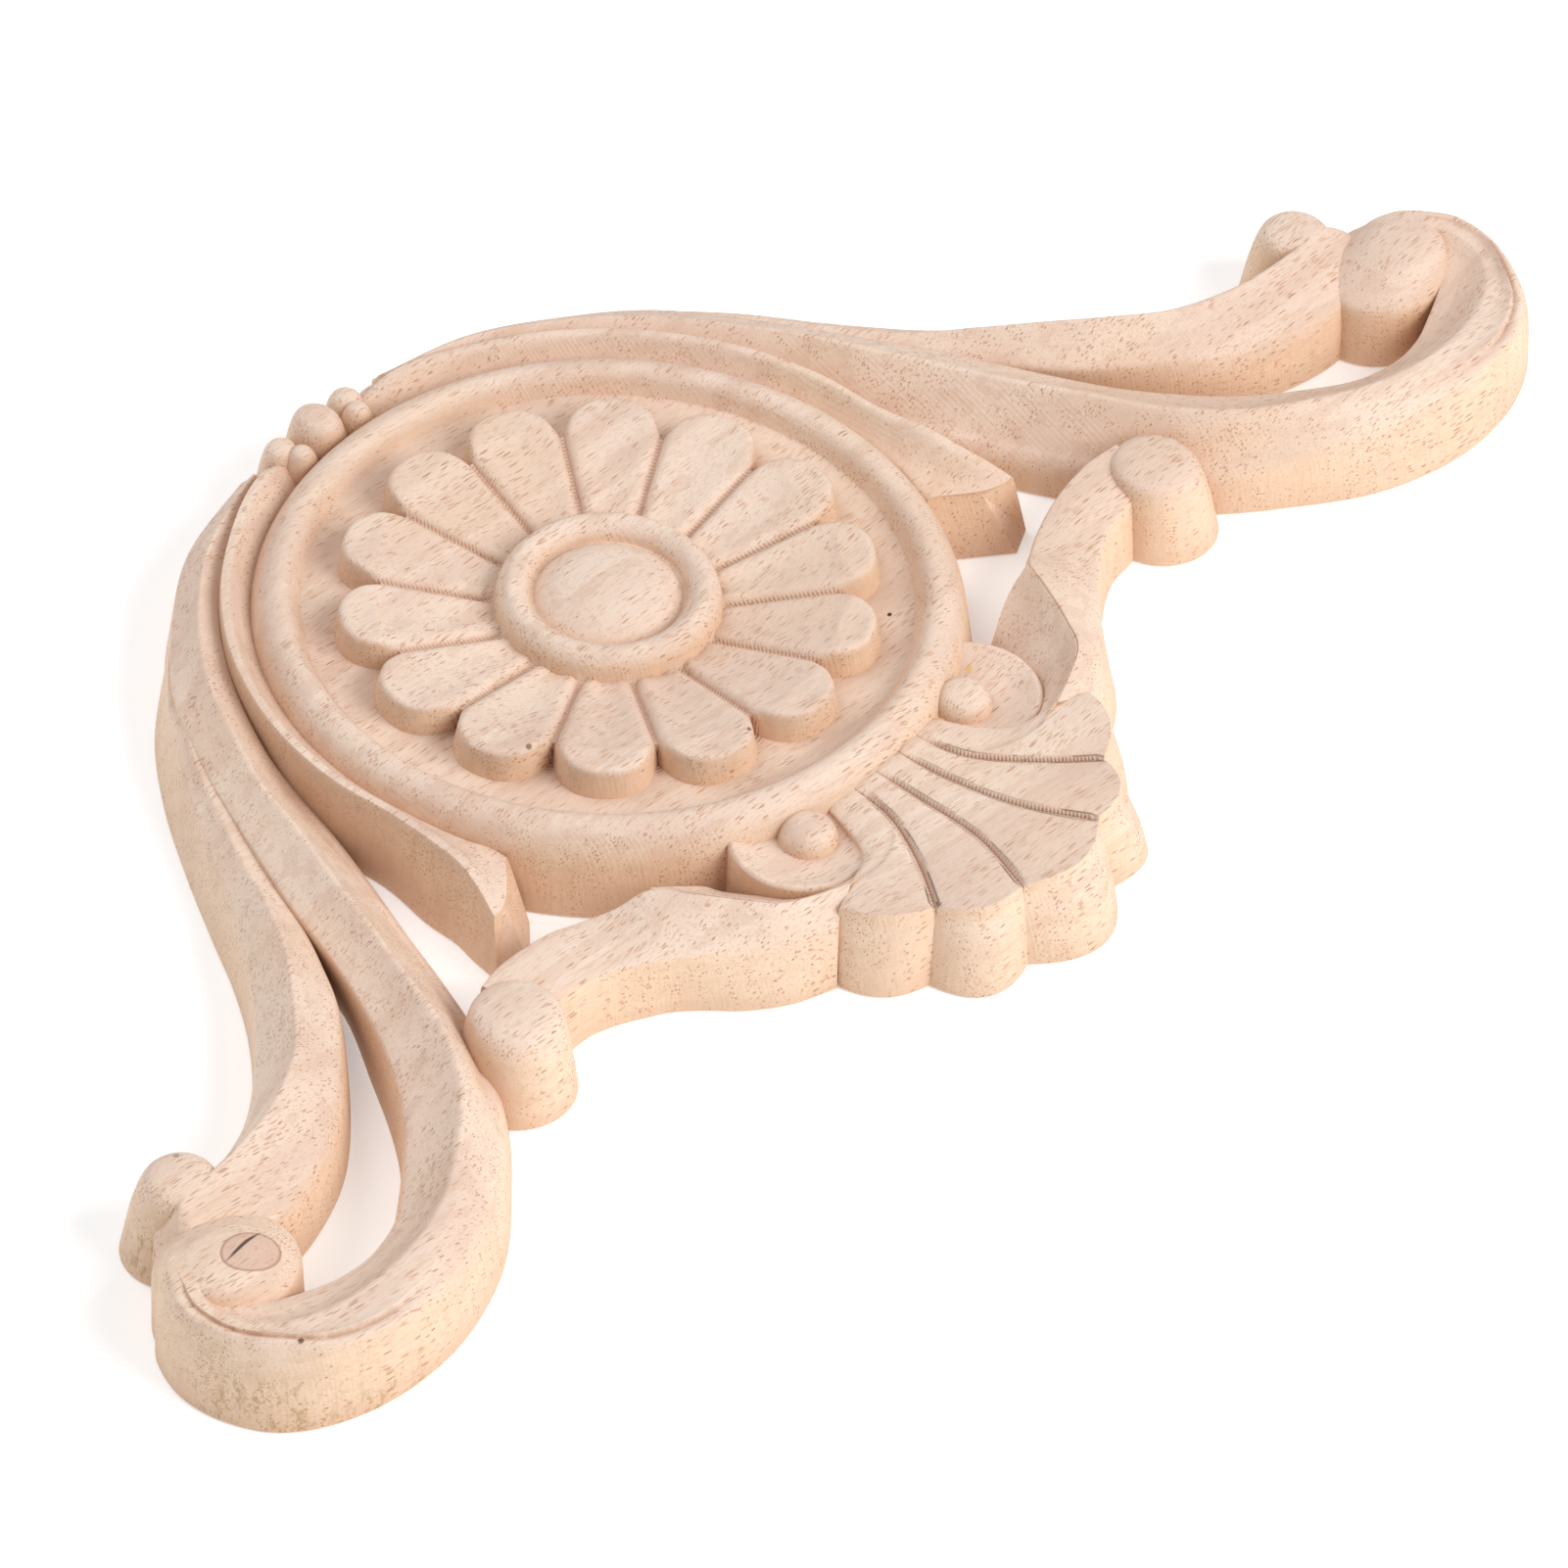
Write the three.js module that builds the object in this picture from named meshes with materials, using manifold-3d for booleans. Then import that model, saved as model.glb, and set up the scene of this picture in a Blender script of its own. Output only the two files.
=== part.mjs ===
// Carved wood applique: a fourteen-petal rosette in a ring, a shell below it, scrolled wings at both sides
// and a three-bump knob on top, all cut from one flat board.
// Millimetres. The flat back is on z = 0, +Z comes out of the carved front, +Y points to the knob,
// and the carving is mirror-symmetric about x = 0.
import * as THREE from 'three';
import { mergeVertices } from 'three/addons/utils/BufferGeometryUtils.js';
import Module from 'manifold-3d';

const wasm = await Module();
wasm.setup();

// Ring and the recessed field inside it, as [radius, height] from the foot of the ring's wall inwards
const fieldHeight = 10.6;
const ringProfile = [
  [53.8, 0], [52.6, 9.0], [51.8, 11.4], [50.4, 13.6], [48.0, 14.6], [46.3, 13.8], [45.2, 11.8], [44.4, fieldHeight],
];

// Raised eye of the rosette, a rounded ring about a low dome, in the same way
const eyeProfile = [
  [16.9, fieldHeight], [16.3, 13.6], [14.95, 15.0], [13.45, 15.0], [11.9, 14.0], [11.2, 12.2],
  [9.6, 13.7], [6.7, 15.1], [0, 15.8],
];

// Petals: radii, and heights above the back
const petalCount = 14;
const petalTipRadius = 39.8;
const petalNotchRadius = 35.4;
const petalRootRadius = 16.2;
const petalTipHeight = 15.4;
const petalRootHeight = 11.0;
const petalGrooveWidth = 1.2;
const petalGrooveDepth = 1.4;
const petalWallLean = 1.1;
const petalSideLean = 0.35;
const petalEdgeDrop = 0.7;
const petalHollow = 0.25;
const petalRoot = 2;

// Strip that hugs the ring: its section as [radius, height], and the angles in degrees that it passes
const ringStripSection = [[57.6, 0], [56.5, 14.1], [55.2, 14.2], [53.4, 11.7], [51.6, 10.1], [50.0, 0], [53.8, 0]];
const ringStripAngles = [77, 65, 50, 35, 20, 6, -6];

// Shell below the ring, and the cup with its bead at each side of it
const lobeCrown = 0.7;
const lobeGroove = 0.6;
const cupCentre = [19.2, -51.6];
const cupProfile = [[0, 0], [11.4, 0], [10.9, 10.4], [10.3, 11.0], [9.5, 10.6], [6.6, 9.4], [0, 9.2]];
const cupStopRadius = 47.0;
const beadCentre = [17.9, -51.6];
const beadProfile = [[0, 7.2], [4.5, 7.2], [4.5, 9.6], [3.9, 11.2], [2.5, 12.3], [0, 12.8]];

// Faceting
const ringFacets = 56;
const knobFacets = 18;
const bumpFacets = 12;
const cupFacets = 24;
const beadFacets = 14;
const joinTolerance = 0.04;

const lerp = (a, b, t) => a + (b - a) * t;
const vec = (x, y, z) => new THREE.Vector3(x, y, z);

function toSolid(geometry) {
  const plain = new THREE.BufferGeometry();
  plain.setAttribute('position', geometry.getAttribute('position').clone());
  plain.setIndex(geometry.getIndex().clone());
  const merged = mergeVertices(plain, 1e-4);
  return new wasm.Manifold(new wasm.Mesh({
    numProp: 3,
    vertProperties: new Float32Array(merged.getAttribute('position').array),
    triVerts: new Uint32Array(merged.getIndex().array),
  }));
}

// A closed body through a row of loops with equal point counts, closed by a fan at each end
function loft(loops) {
  const count = loops[0].length;
  const points = loops.flat();
  const index = [];
  for (let i = 0; i + 1 < loops.length; i += 1) {
    for (let j = 0; j < count; j += 1) {
      const a = i * count + j;
      const b = i * count + ((j + 1) % count);
      index.push(a, b, b + count, a, b + count, a + count);
    }
  }
  for (const row of [0, loops.length - 1]) {
    const centre = loops[row].reduce((sum, p) => sum.add(p), vec(0, 0, 0)).divideScalar(count);
    const hub = points.push(centre) - 1;
    for (let j = 0; j < count; j += 1) {
      const a = row * count + j;
      const b = row * count + ((j + 1) % count);
      if (row === 0) {
        index.push(hub, b, a);
      } else {
        index.push(hub, a, b);
      }
    }
  }
  const geometry = new THREE.BufferGeometry();
  geometry.setAttribute('position', new THREE.Float32BufferAttribute(points.flatMap((p) => p.toArray()), 3));
  geometry.setIndex(index);
  return toSolid(geometry);
}

// A smooth line through the given points, evaluated at a parameter that counts the points from 0
function smoothPoint(points, at) {
  const last = points.length - 1;
  const i = Math.min(Math.floor(at), last - 1);
  const t = at - i;
  const [p0, p1, p2, p3] = [Math.max(i - 1, 0), i, i + 1, Math.min(i + 2, last)].map((k) => points[k]);
  return p1.map((v, c) => {
    const bend = 2 * p0[c] - 5 * v + 4 * p2[c] - p3[c];
    const twist = 3 * v - p0[c] - 3 * p2[c] + p3[c];
    return v + 0.5 * t * (p2[c] - p0[c] + t * (bend + t * twist));
  });
}

// A carved strip from cross-sections of equal point counts; smooth along its length, cut flat at the ends
function strip(sections, perSection) {
  const loops = [];
  const last = sections.length - 1;
  for (let k = 0; k <= last * perSection; k += 1) {
    const at = k / perSection;
    loops.push(sections[0].map((_, j) => vec(...smoothPoint(sections.map((s) => s[j]), at))));
  }
  return loft(loops);
}

// The point at a share of the way between two points, raised by the given height
const between = (a, b, t, raise = 0) => [lerp(a[0], b[0], t), lerp(a[1], b[1], t), lerp(a[2], b[2], t) + raise];
const foot = ([x, y]) => [x, y, 0];

// A side that rolls from a top edge down to its foot
const rolledSide = (edge, base) => [between(edge, base, 0.35, 0.25 * edge[2]), between(edge, base, 0.78, 0.4 * edge[2])];

// A rounded knob on an oval foot that leans in to an oval crown. Its levels are [share of the height, share of
// the way from foot to crown], and its caps [share of the height, share of the crown's radii].
function knob({ x, y, foot, crown, height, turn = 0, shift = [0, 0] }, facets = knobFacets) {
  const levels = [[0, 0], [0.6, 0.45], [0.88, 0.82], [0.98, 0.97]];
  const caps = [[1.02, 0.6]];
  const ring = (rx, ry, z, t) => Array.from({ length: facets }, (_, j) => {
    const a = (j / facets) * 2 * Math.PI;
    const px = rx * Math.cos(a);
    const py = ry * Math.sin(a);
    return vec(
      x + shift[0] * t + px * Math.cos(turn) - py * Math.sin(turn),
      y + shift[1] * t + px * Math.sin(turn) + py * Math.cos(turn),
      z,
    );
  });
  const loops = levels.map(([h, t]) => ring(lerp(foot[0], crown[0], t), lerp(foot[1], crown[1], t), h * height, t));
  for (const [h, share] of caps) {
    loops.push(ring(crown[0] * share, crown[1] * share, h * height, 1));
  }
  return loft(loops);
}

// A solid turned about an upright axis from a profile of [radius, height] points
function turnedAt([x, y], profile, facets) {
  const lathe = new THREE.LatheGeometry(profile.map(([r, z]) => new THREE.Vector2(r, z)), facets);
  lathe.rotateX(Math.PI / 2);
  return toSolid(lathe).translate([x, y, 0]);
}

const petalHeightAt = (r) => lerp(
  petalRootHeight,
  petalTipHeight,
  Math.min(1, (r - petalRootRadius) / (petalNotchRadius - petalRootRadius)),
);

// The floor of the grooves: a shallow cone just below the petals' faces
function grooveFloor() {
  const rim = petalNotchRadius - petalWallLean / 2;
  return turnedAt([0, 0], [
    [0, fieldHeight - petalRoot], [rim + petalWallLean, fieldHeight - petalRoot],
    [rim, petalTipHeight - petalGrooveDepth],
    [petalRootRadius, petalRootHeight - petalGrooveDepth], [0, petalRootHeight - petalGrooveDepth],
  ], petalCount * 2);
}

// One petal along +X: a wedge with a round tip, lifted towards the tip
function petal() {
  const halfAngle = Math.PI / petalCount;
  const tipStart = petalNotchRadius - 3.2;
  const halfWidthAt = (r) => {
    const wedge = r * Math.tan(halfAngle) - petalGrooveWidth / 2;
    if (r <= tipStart) {
      return wedge;
    }
    const t = (r - tipStart) / (petalTipRadius - tipStart);
    return (tipStart * Math.tan(halfAngle) - petalGrooveWidth / 2) * Math.sqrt(Math.max(0.012, 1 - t ** 2.3));
  };
  const tipShares = [0.4, 0.72, 0.92, 1];
  const radii = [petalRootRadius - 1, 25, tipStart, ...tipShares.map((t) => lerp(tipStart, petalTipRadius, t))];
  const loops = radii.map((r, i) => {
    const half = halfWidthAt(r);
    const lean = i > 2 ? petalWallLean : petalSideLean;
    const reach = i > 2 ? (petalWallLean * (i - 2)) / tipShares.length : 0;
    const top = petalHeightAt(r);
    const low = fieldHeight - petalRoot / 2;
    const edge = top - petalEdgeDrop;
    return [
      vec(r + reach, half + lean, low), vec(r, half, edge), vec(r, half * 0.82, top),
      vec(r, 0, top - petalHollow), vec(r, -half * 0.82, top), vec(r, -half, edge),
      vec(r + reach, -half - lean, low),
    ];
  });
  return loft(loops);
}

function mirrored(solid) {
  return solid.add(solid.mirror([1, 0, 0]));
}

const onRing = (radius, degrees, z) => {
  const a = (degrees * Math.PI) / 180;
  return [radius * Math.cos(a), radius * Math.sin(a), z];
};

// Strip that hugs the ring, from the knob down to its blunt, dished end.
// Each section is [outer foot, crest, rounding of the crest, dished slope, valley, inner foot, middle of the base].
function ringStrip() {
  const sections = ringStripAngles.map((degrees) => ringStripSection.map(([r, z]) => onRing(r, degrees, z)));
  sections.push(
    [[58.9, -14.8, 0], [57.0, -14.8, 14.5], [55.6, -14.6, 14.4], [52.7, -14.8, 11.5], [50.1, -14.2, 10.2],
      [48.5, -14.9, 0], [54.5, -14.8, 0]],
    [[59.3, -20.9, 0], [57.4, -19.9, 14.0], [55.8, -19.6, 13.8], [52.5, -19.2, 11.0], [48.7, -17.7, 10.1],
      [48.0, -17.9, 0], [54.5, -20.9, 0]],
    [[60.3, -24.9, 0], [58.5, -24.2, 12.8], [56.8, -24.0, 12.5], [53.5, -23.2, 10.6], [48.1, -19.1, 10.0],
      [48.5, -19.9, 0], [54.9, -26.0, 0]],
    [[61.3, -30.4, 0], [59.9, -28.4, 10.8], [58.1, -28.2, 10.4], [54.7, -26.6, 10.1], [47.9, -20.4, 10.0],
      [49.3, -26.2, 0], [56.4, -32.4, 0]],
  );
  return strip(sections, 2);
}

// Main scroll of the wing: from the knob down past the ring, round the volute and into its eye.
// Each row is [crest, far edge, far foot, near edge, near foot, crown of the near face].
const mainScrollRows = [
  [[14.2, 56.0, 13.1], [15.0, 58.0, 10.4], [15.2, 59.2], [13.6, 54.5, 11.7], [13.4, 53.9], 0],
  [[29.3, 51.2, 13.3], [31.0, 54.2, 10.2], [31.6, 55.3], [27.9, 48.8, 11.7], [27.3, 47.9], 0],
  [[40.9, 43.4, 13.3], [43.3, 46.4, 10.2], [44.2, 47.4], [39.0, 41.1, 11.7], [38.4, 40.4], 0],
  [[50.5, 33.5, 13.3], [54.7, 36.4, 10.0], [54.5, 35.9], [47.5, 31.3, 11.0], [46.5, 30.8], 0],
  [[57.5, 22.2, 13.3], [62.9, 23.8, 9.8], [63.1, 23.8], [53.8, 20.7, 10.2], [52.5, 20.3], 0],
  [[62.6, 12.6, 13.4], [68.4, 12.7, 9.8], [68.6, 12.2], [57.5, 11.9, 8.2], [54.5, 10.6], 0],
  [[65.8, 3.9, 13.6], [72.8, 3.3, 10.0], [72.6, 2.5], [60.2, 2.7, 7.1], [57.1, 1.4], 0],
  [[69.8, -6.2, 13.7], [77.0, -6.1, 10.2], [76.9, -7.1], [63.8, -7.5, 6.6], [61.0, -8.6], 0],
  [[73.9, -16.8, 13.8], [81.0, -16.7, 10.2], [80.5, -18.3], [67.8, -17.1, 6.5], [65.0, -18.2], 0],
  [[78.5, -27.5, 14.2], [86.3, -28.3, 10.1], [87.8, -29.6], [71.7, -26.7, 6.6], [68.9, -28.0], 0.1],
  [[83.3, -38.6, 14.5], [92.3, -37.5, 10.0], [93.6, -38.1], [76.4, -36.8, 6.9], [73.8, -38.3], 0.4],
  [[90.3, -48.0, 14.7], [97.9, -44.0, 9.9], [99.2, -44.6], [83.9, -46.6, 8.0], [81.3, -48.8], 1.0],
  [[99.1, -54.8, 14.8], [104.1, -49.3, 9.8], [105.0, -48.6], [92.9, -55.9, 10.0], [90.5, -57.3], 1.0],
  [[108.7, -60.1, 14.9], [111.1, -54.1, 9.7], [111.6, -53.1], [104.7, -63.2, 12.5], [102.1, -65.8], 0.7],
  [[118.7, -62.5, 15.0], [118.3, -56.1, 9.7], [118.2, -55.0], [117.1, -67.8, 13.1], [115.3, -70.3], 0.5],
  [[127.2, -62.2, 14.7], [124.3, -55.8, 9.9], [124.0, -54.8], [128.3, -68.4, 14.1], [127.7, -70.5], -0.2],
  [[133.2, -59.8, 14.1], [129.7, -54.1, 10.2], [129.4, -53.4], [136.4, -65.2, 14.5], [138.0, -67.4], -0.6],
  [[138.3, -56.2, 13.5], [134.9, -52.0, 11.2], [135.3, -52.7], [141.6, -60.6, 14.8], [145.0, -62.0], -0.6],
  [[141.1, -52.1, 13.5], [138.7, -49.3, 12.5], [138.9, -49.9], [145.4, -54.4, 14.9], [148.3, -54.8], -0.5],
  [[142.3, -47.7, 14.3], [140.5, -46.4, 13.7], [140.3, -46.8], [146.4, -47.4, 15.0], [148.7, -47.8], -0.2],
  [[140.9, -43.8, 15.1], [138.7, -44.4, 14.9], [138.7, -44.6], [144.4, -42.4, 14.8], [146.5, -41.8], 0],
];

// Outer scroll of the wing, with the same kind of rows; its far side is the outline of the wing
const outerScrollRows = [
  [[42.4, 46.0, 10.1], [43.0, 46.7, 9.6], [43.8, 47.7], [41.4, 44.6, 10.1], [40.8, 44.0], 0],
  [[52.9, 36.5, 10.0], [54.3, 37.7, 9.1], [55.9, 39.0], [51.5, 35.3, 9.8], [50.9, 34.7], 0],
  [[61.9, 26.2, 9.9], [63.6, 27.1, 8.5], [65.6, 28.6], [59.4, 24.6, 9.7], [58.8, 24.0], 0],
  [[68.9, 14.8, 9.6], [71.4, 15.9, 7.7], [73.9, 17.1], [66.2, 13.9, 9.5], [65.6, 13.3], 0],
  [[75.3, 3.7, 10.2], [79.0, 4.9, 7.5], [81.3, 5.6], [72.2, 3.3, 9.2], [71.6, 2.5], -0.1],
  [[80.7, -5.1, 12.7], [85.2, -2.8, 7.8], [86.5, -2.8], [77.0, -7.0, 9.4], [76.4, -7.6], -0.2],
  [[86.3, -12.6, 14.4], [91.0, -10.2, 8.2], [92.3, -10.5], [81.5, -14.7, 9.7], [80.9, -15.7], -0.2],
  [[93.5, -20.4, 15.1], [97.5, -16.6, 8.7], [98.7, -17.0], [87.1, -22.7, 10.2], [86.3, -23.4], -0.2],
  [[100.7, -26.7, 15.2], [104.3, -22.3, 8.8], [105.1, -21.5], [95.7, -30.2, 10.2], [95.1, -32.0], -0.1],
  [[109.1, -30.6, 15.4], [110.9, -26.7, 9.3], [111.5, -24.0], [105.1, -36.2, 10.2], [104.1, -38.6], 0],
  [[117.2, -32.3, 15.3], [118.7, -29.3, 9.6], [118.7, -26.4], [114.1, -40.5, 10.2], [113.3, -42.3], 0.1],
  [[125.2, -32.8, 15.2], [125.7, -30.2, 9.8], [125.7, -27.4], [123.1, -42.4, 10.4], [122.2, -43.7], 0.2],
  [[130.7, -32.8, 14.9], [131.7, -29.2, 9.2], [131.7, -27.8], [130.7, -40.6, 11.2], [130.7, -41.2], 0.2],
];

function scroll(rows, farDish, perSection) {
  return strip(rows.map(([crest, farEdge, farBase, nearEdge, nearBase, crown]) => [
    foot(farBase), farEdge, between(crest, farEdge, 0.5, -farDish), crest,
    between(crest, nearEdge, 0.5, crown), nearEdge, ...rolledSide(nearEdge, foot(nearBase)), foot(nearBase),
  ]), perSection);
}

// Lower strip from the leaf tip beside the shell to its round end; rows are [ring side foot, ring side edge,
// lower edge, lower foot]
const lowerStripRows = [
  [[22.3, -58.7], [23.8, -64.0, 13.1], [29.9, -66.4, 10.7], [31.3, -67.8]],
  [[30.8, -58.1], [33.4, -60.5, 14.4], [36.6, -61.7, 10.7], [37.4, -65.2]],
  [[35.2, -53.5], [37.2, -55.6, 14.6], [41.4, -58.4, 10.2], [42.8, -61.0]],
  [[39.2, -47.2], [41.0, -48.8, 14.5], [45.9, -55.1, 10.2], [46.7, -56.3]],
  [[42.6, -42.1], [43.8, -43.5, 14.0], [49.3, -52.2, 10.2], [49.9, -53.0]],
  [[47.5, -39.1], [48.1, -40.7, 11.6], [52.5, -50.0, 10.3], [53.1, -50.9]],
  [[52.9, -37.1], [53.1, -38.4, 11.2], [56.0, -47.9, 10.4], [56.5, -48.9]],
  [[59.0, -35.7], [59.1, -37.0, 12.4], [60.4, -46.2, 10.6], [60.8, -47.2]],
  [[67.4, -34.7], [67.2, -36.0, 12.5], [65.6, -45.2, 10.8], [65.8, -46.7]],
  [[73.6, -36.1], [73.1, -37.2, 13.3], [72.6, -44.2, 11.2], [72.6, -45.2]],
];

function lowerStrip() {
  return strip(lowerStripRows.map(([ringBase, ringEdge, lowEdge, lowBase]) => [
    foot(ringBase), ringEdge, between(ringEdge, lowEdge, 0.5, 0.5), lowEdge,
    between(lowEdge, foot(lowBase), 0.4, 0.15 * lowEdge[2]), foot(lowBase),
  ]), 2);
}

// Leaf that curls from the ring round the cup and out to its tip; rows are [crest, hollow, valley, foot of the valley]
const leafRows = [
  [[7.9, -52.7, 10.4], [8.4, -52.5, 10.2], [9.0, -52.3, 10.1], [9.5, -51.7]],
  [[9.7, -58.8, 11.2], [10.3, -58.3, 10.9], [10.9, -57.8, 10.7], [11.5, -56.8]],
  [[15.8, -63.6, 12.0], [16.2, -62.8, 11.4], [16.6, -62.0, 11.0], [17.0, -60.8]],
  [[23.8, -64.0, 13.1], [23.2, -62.9, 11.8], [22.7, -61.8, 10.8], [22.3, -59.7]],
  [[33.4, -60.5, 14.4], [30.5, -58.9, 10.8], [27.7, -57.5, 8.8], [26.8, -56.6]],
  [[37.2, -55.6, 14.6], [33.6, -53.8, 10.2], [29.7, -52.0, 7.4], [28.3, -51.6]],
  [[41.0, -48.8, 14.5], [36.8, -48.0, 10.0], [31.5, -47.7, 6.7], [29.3, -47.5]],
  [[43.8, -43.5, 14.0], [39.0, -43.2, 10.4], [32.4, -45.8, 7.0], [29.3, -45.5]],
];

function leaf() {
  return strip(leafRows.map(([crest, hollow, valley, base]) => [
    foot(base), valley, hollow, crest, foot(crest), foot(between(crest, valley, 0.5)),
  ]), 2);
}

// The cup stops at the ring's crest, so that it never shows in the field
function cup() {
  const insideRing = turnedAt([0, 0], [[0, -1], [cupStopRadius, -1], [cupStopRadius, 20], [0, 20]], 40);
  return turnedAt(cupCentre, cupProfile, cupFacets).subtract(insideRing);
}

// Shell lobes lie between grooves; a groove is a row of points from the ring to the rim
const innerGroove = [[2.6, -49.7, 10.1], [2.8, -58.4, 10.6], [4.3, -71.5, 11.6], [8.8, -83.0, 12.5]];
const outerGroove = [[7.0, -49.7, 9.9], [8.3, -58.8, 10.3], [13.4, -67.9, 11.0], [19.6, -75.8, 11.8]];
const shellSide = [[11.1, -47.6, 9.8], [16.2, -59.8, 10.4], [23.3, -63.4, 11.8], [28.7, -65.6, 12.3]];
const flipped = (points) => points.map(([x, y, z]) => [-x, y, z]);
const shellLobes = [
  { left: flipped(innerGroove), right: innerGroove, feet: [[-10.1, -85.6], [10.1, -85.6]], rim: 3.8, toe: 5.9 },
  { left: innerGroove, right: outerGroove, feet: [[10.1, -85.6], [22.4, -77.4]], rim: 2.9, toe: 4.5 },
  { left: outerGroove, right: shellSide, feet: [[22.4, -77.4], [30.9, -67.7]], rim: 2.3, toe: 2.3 },
];

function shellLobe({ left, right, feet, rim, toe }) {
  const across = [-1, -0.86, -0.45, 0, 0.45, 0.86, 1];
  const arc = (a, b, bulge, z, crown) => {
    const width = Math.hypot(b[0] - a[0], b[1] - a[1]);
    const out = [(b[1] - a[1]) / width, -(b[0] - a[0]) / width];
    return across.map((u) => {
      const swell = bulge * (1 - u * u);
      const [x, y] = between(a, b, (u + 1) / 2);
      const height = z === null ? lerp(a[2], b[2], (u + 1) / 2) : z;
      return [x + out[0] * swell, y + out[1] * swell, height + crown * Math.cos((u * Math.PI) / 2) ** 0.5];
    });
  };
  const sections = [];
  for (const at of [0, 0.6, 1.2, 1.8, 2.4, 2.85]) {
    const [a, b] = [smoothPoint(left, at), smoothPoint(right, at)];
    const top = arc(a, b, (rim * at) / 3, null, lobeGroove + lobeCrown);
    sections.push([foot(a), ...top, foot(b)]);
  }
  const [a, b] = [left[3], right[3]];
  const top = arc(a, b, rim, null, lobeGroove * 0.6);
  sections.push([foot(feet[0]), ...top, foot(feet[1])]);
  const [fa, fb] = feet.map(foot);
  for (const [share, z] of [[0.3, 9.6], [0.72, 5.0], [1, 0]]) {
    const low = arc(between(a, fa, share), between(b, fb, share), lerp(rim, toe, share), z, 0);
    sections.push([fa, ...low, fb]);
  }
  return loft(sections.map((s) => s.reverse().map((p) => vec(...p))));
}

const lowerKnob = { x: 75.0, y: -45.2, foot: [8.7, 8.7], crown: [6.5, 6.5], height: 13.7, shift: [-1.3, 1.3] };
const smallKnob = { x: 128.7, y: -29.2, foot: [7.8, 7.8], crown: [5.2, 5.2], height: 14.8, shift: [-0.6, -0.7] };
const largeKnob = { x: 133.5, y: -43.0, foot: [11.1, 10.0], crown: [7.3, 6.2], height: 15.1, shift: [2.9, -1.2] };

// Knob over the ring: a large bump between two small ones
const crownBumps = [
  { x: 0, y: 56.0, foot: [4.8, 5.9], crown: [3.4, 3.9], height: 14.9 },
  { x: 7.3, y: 56.7, foot: [3.7, 3.9], crown: [2.6, 2.6], height: 13.4 },
  { x: 6.3, y: 53.5, foot: [2.8, 2.8], crown: [1.9, 1.9], height: 13.6 },
  { x: 12.5, y: 55.1, foot: [4.4, 3.8], crown: [2.9, 2.3], height: 11.5, turn: -0.3 },
];

function makeApplique() {
  let solid = turnedAt([0, 0], [[0, 0], ...ringProfile, ...eyeProfile], ringFacets).add(grooveFloor());
  const onePetal = petal();
  for (let k = 0; k < petalCount; k += 1) {
    solid = solid.add(onePetal.rotate([0, 0, 90 + (k * 360) / petalCount]));
  }
  const side = [
    ringStrip(), scroll(mainScrollRows, 0.4, 2), scroll(outerScrollRows, 0.3, 2), lowerStrip(), leaf(), cup(),
    turnedAt(beadCentre, beadProfile, beadFacets),
    shellLobe(shellLobes[1]), shellLobe(shellLobes[2]),
    knob(lowerKnob), knob(smallKnob), knob(largeKnob), ...crownBumps.slice(1).map((bump) => knob(bump, bumpFacets)),
  ];
  for (const piece of side) {
    solid = solid.add(mirrored(piece));
  }
  return solid.add(shellLobe(shellLobes[0])).add(knob(crownBumps[0], 16));
}

// The largest skin is the piece itself; the others are closed pockets between lobes, and are filled
const skins = makeApplique().decompose().sort((a, b) => b.volume() - a.volume());
const mesh = skins[0].asOriginal().simplify(joinTolerance).getMesh();
const geometry = new THREE.BufferGeometry();
geometry.setAttribute('position', new THREE.Float32BufferAttribute(mesh.vertProperties, 3));
geometry.setIndex(new THREE.Uint32BufferAttribute(mesh.triVerts, 1));
geometry.computeVertexNormals();

const wood = new THREE.MeshStandardMaterial({ color: 0xe3c4a8, roughness: 0.72, metalness: 0 });
const node = new THREE.Mesh(geometry, wood);
node.name = 'applique';

const group = new THREE.Group();
group.add(node);

export default group;
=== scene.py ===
# Carved wood applique: the whole carving, its bare rubberwood, a pale floor, soft light and a camera.
# Shapes are in millimetres here and become metres when a mesh is made.
import math

import bmesh
import bpy
import numpy as np
from mathutils import Matrix, Vector


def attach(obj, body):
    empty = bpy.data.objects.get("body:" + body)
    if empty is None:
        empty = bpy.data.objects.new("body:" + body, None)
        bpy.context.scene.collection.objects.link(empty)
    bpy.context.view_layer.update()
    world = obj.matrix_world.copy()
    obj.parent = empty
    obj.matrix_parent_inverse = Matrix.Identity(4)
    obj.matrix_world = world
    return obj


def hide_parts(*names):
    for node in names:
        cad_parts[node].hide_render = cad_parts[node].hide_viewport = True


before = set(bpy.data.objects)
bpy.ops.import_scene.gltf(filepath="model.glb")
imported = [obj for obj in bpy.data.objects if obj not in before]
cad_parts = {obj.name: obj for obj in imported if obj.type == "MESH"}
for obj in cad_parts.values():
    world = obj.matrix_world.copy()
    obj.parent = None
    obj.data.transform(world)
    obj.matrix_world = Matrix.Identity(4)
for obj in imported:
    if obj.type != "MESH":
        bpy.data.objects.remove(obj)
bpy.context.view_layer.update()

MM = 0.001

# Least radius of a turned piece, and least share of a knob's width: nothing narrows to a point, so that no two
# points of a mesh meet
LEAST_RADIUS = 0.02
LEAST_SHARE = 0.01

# Ring and the recessed field inside it, as [radius, height] from the foot of the ring's wall inwards
FIELD_HEIGHT = 10.6
RING_PROFILE = [
    [53.8, 0], [52.6, 9.0], [51.8, 11.4], [50.4, 13.6], [48.0, 14.6], [46.3, 13.8], [45.2, 11.8],
    [44.4, FIELD_HEIGHT],
]

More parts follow.
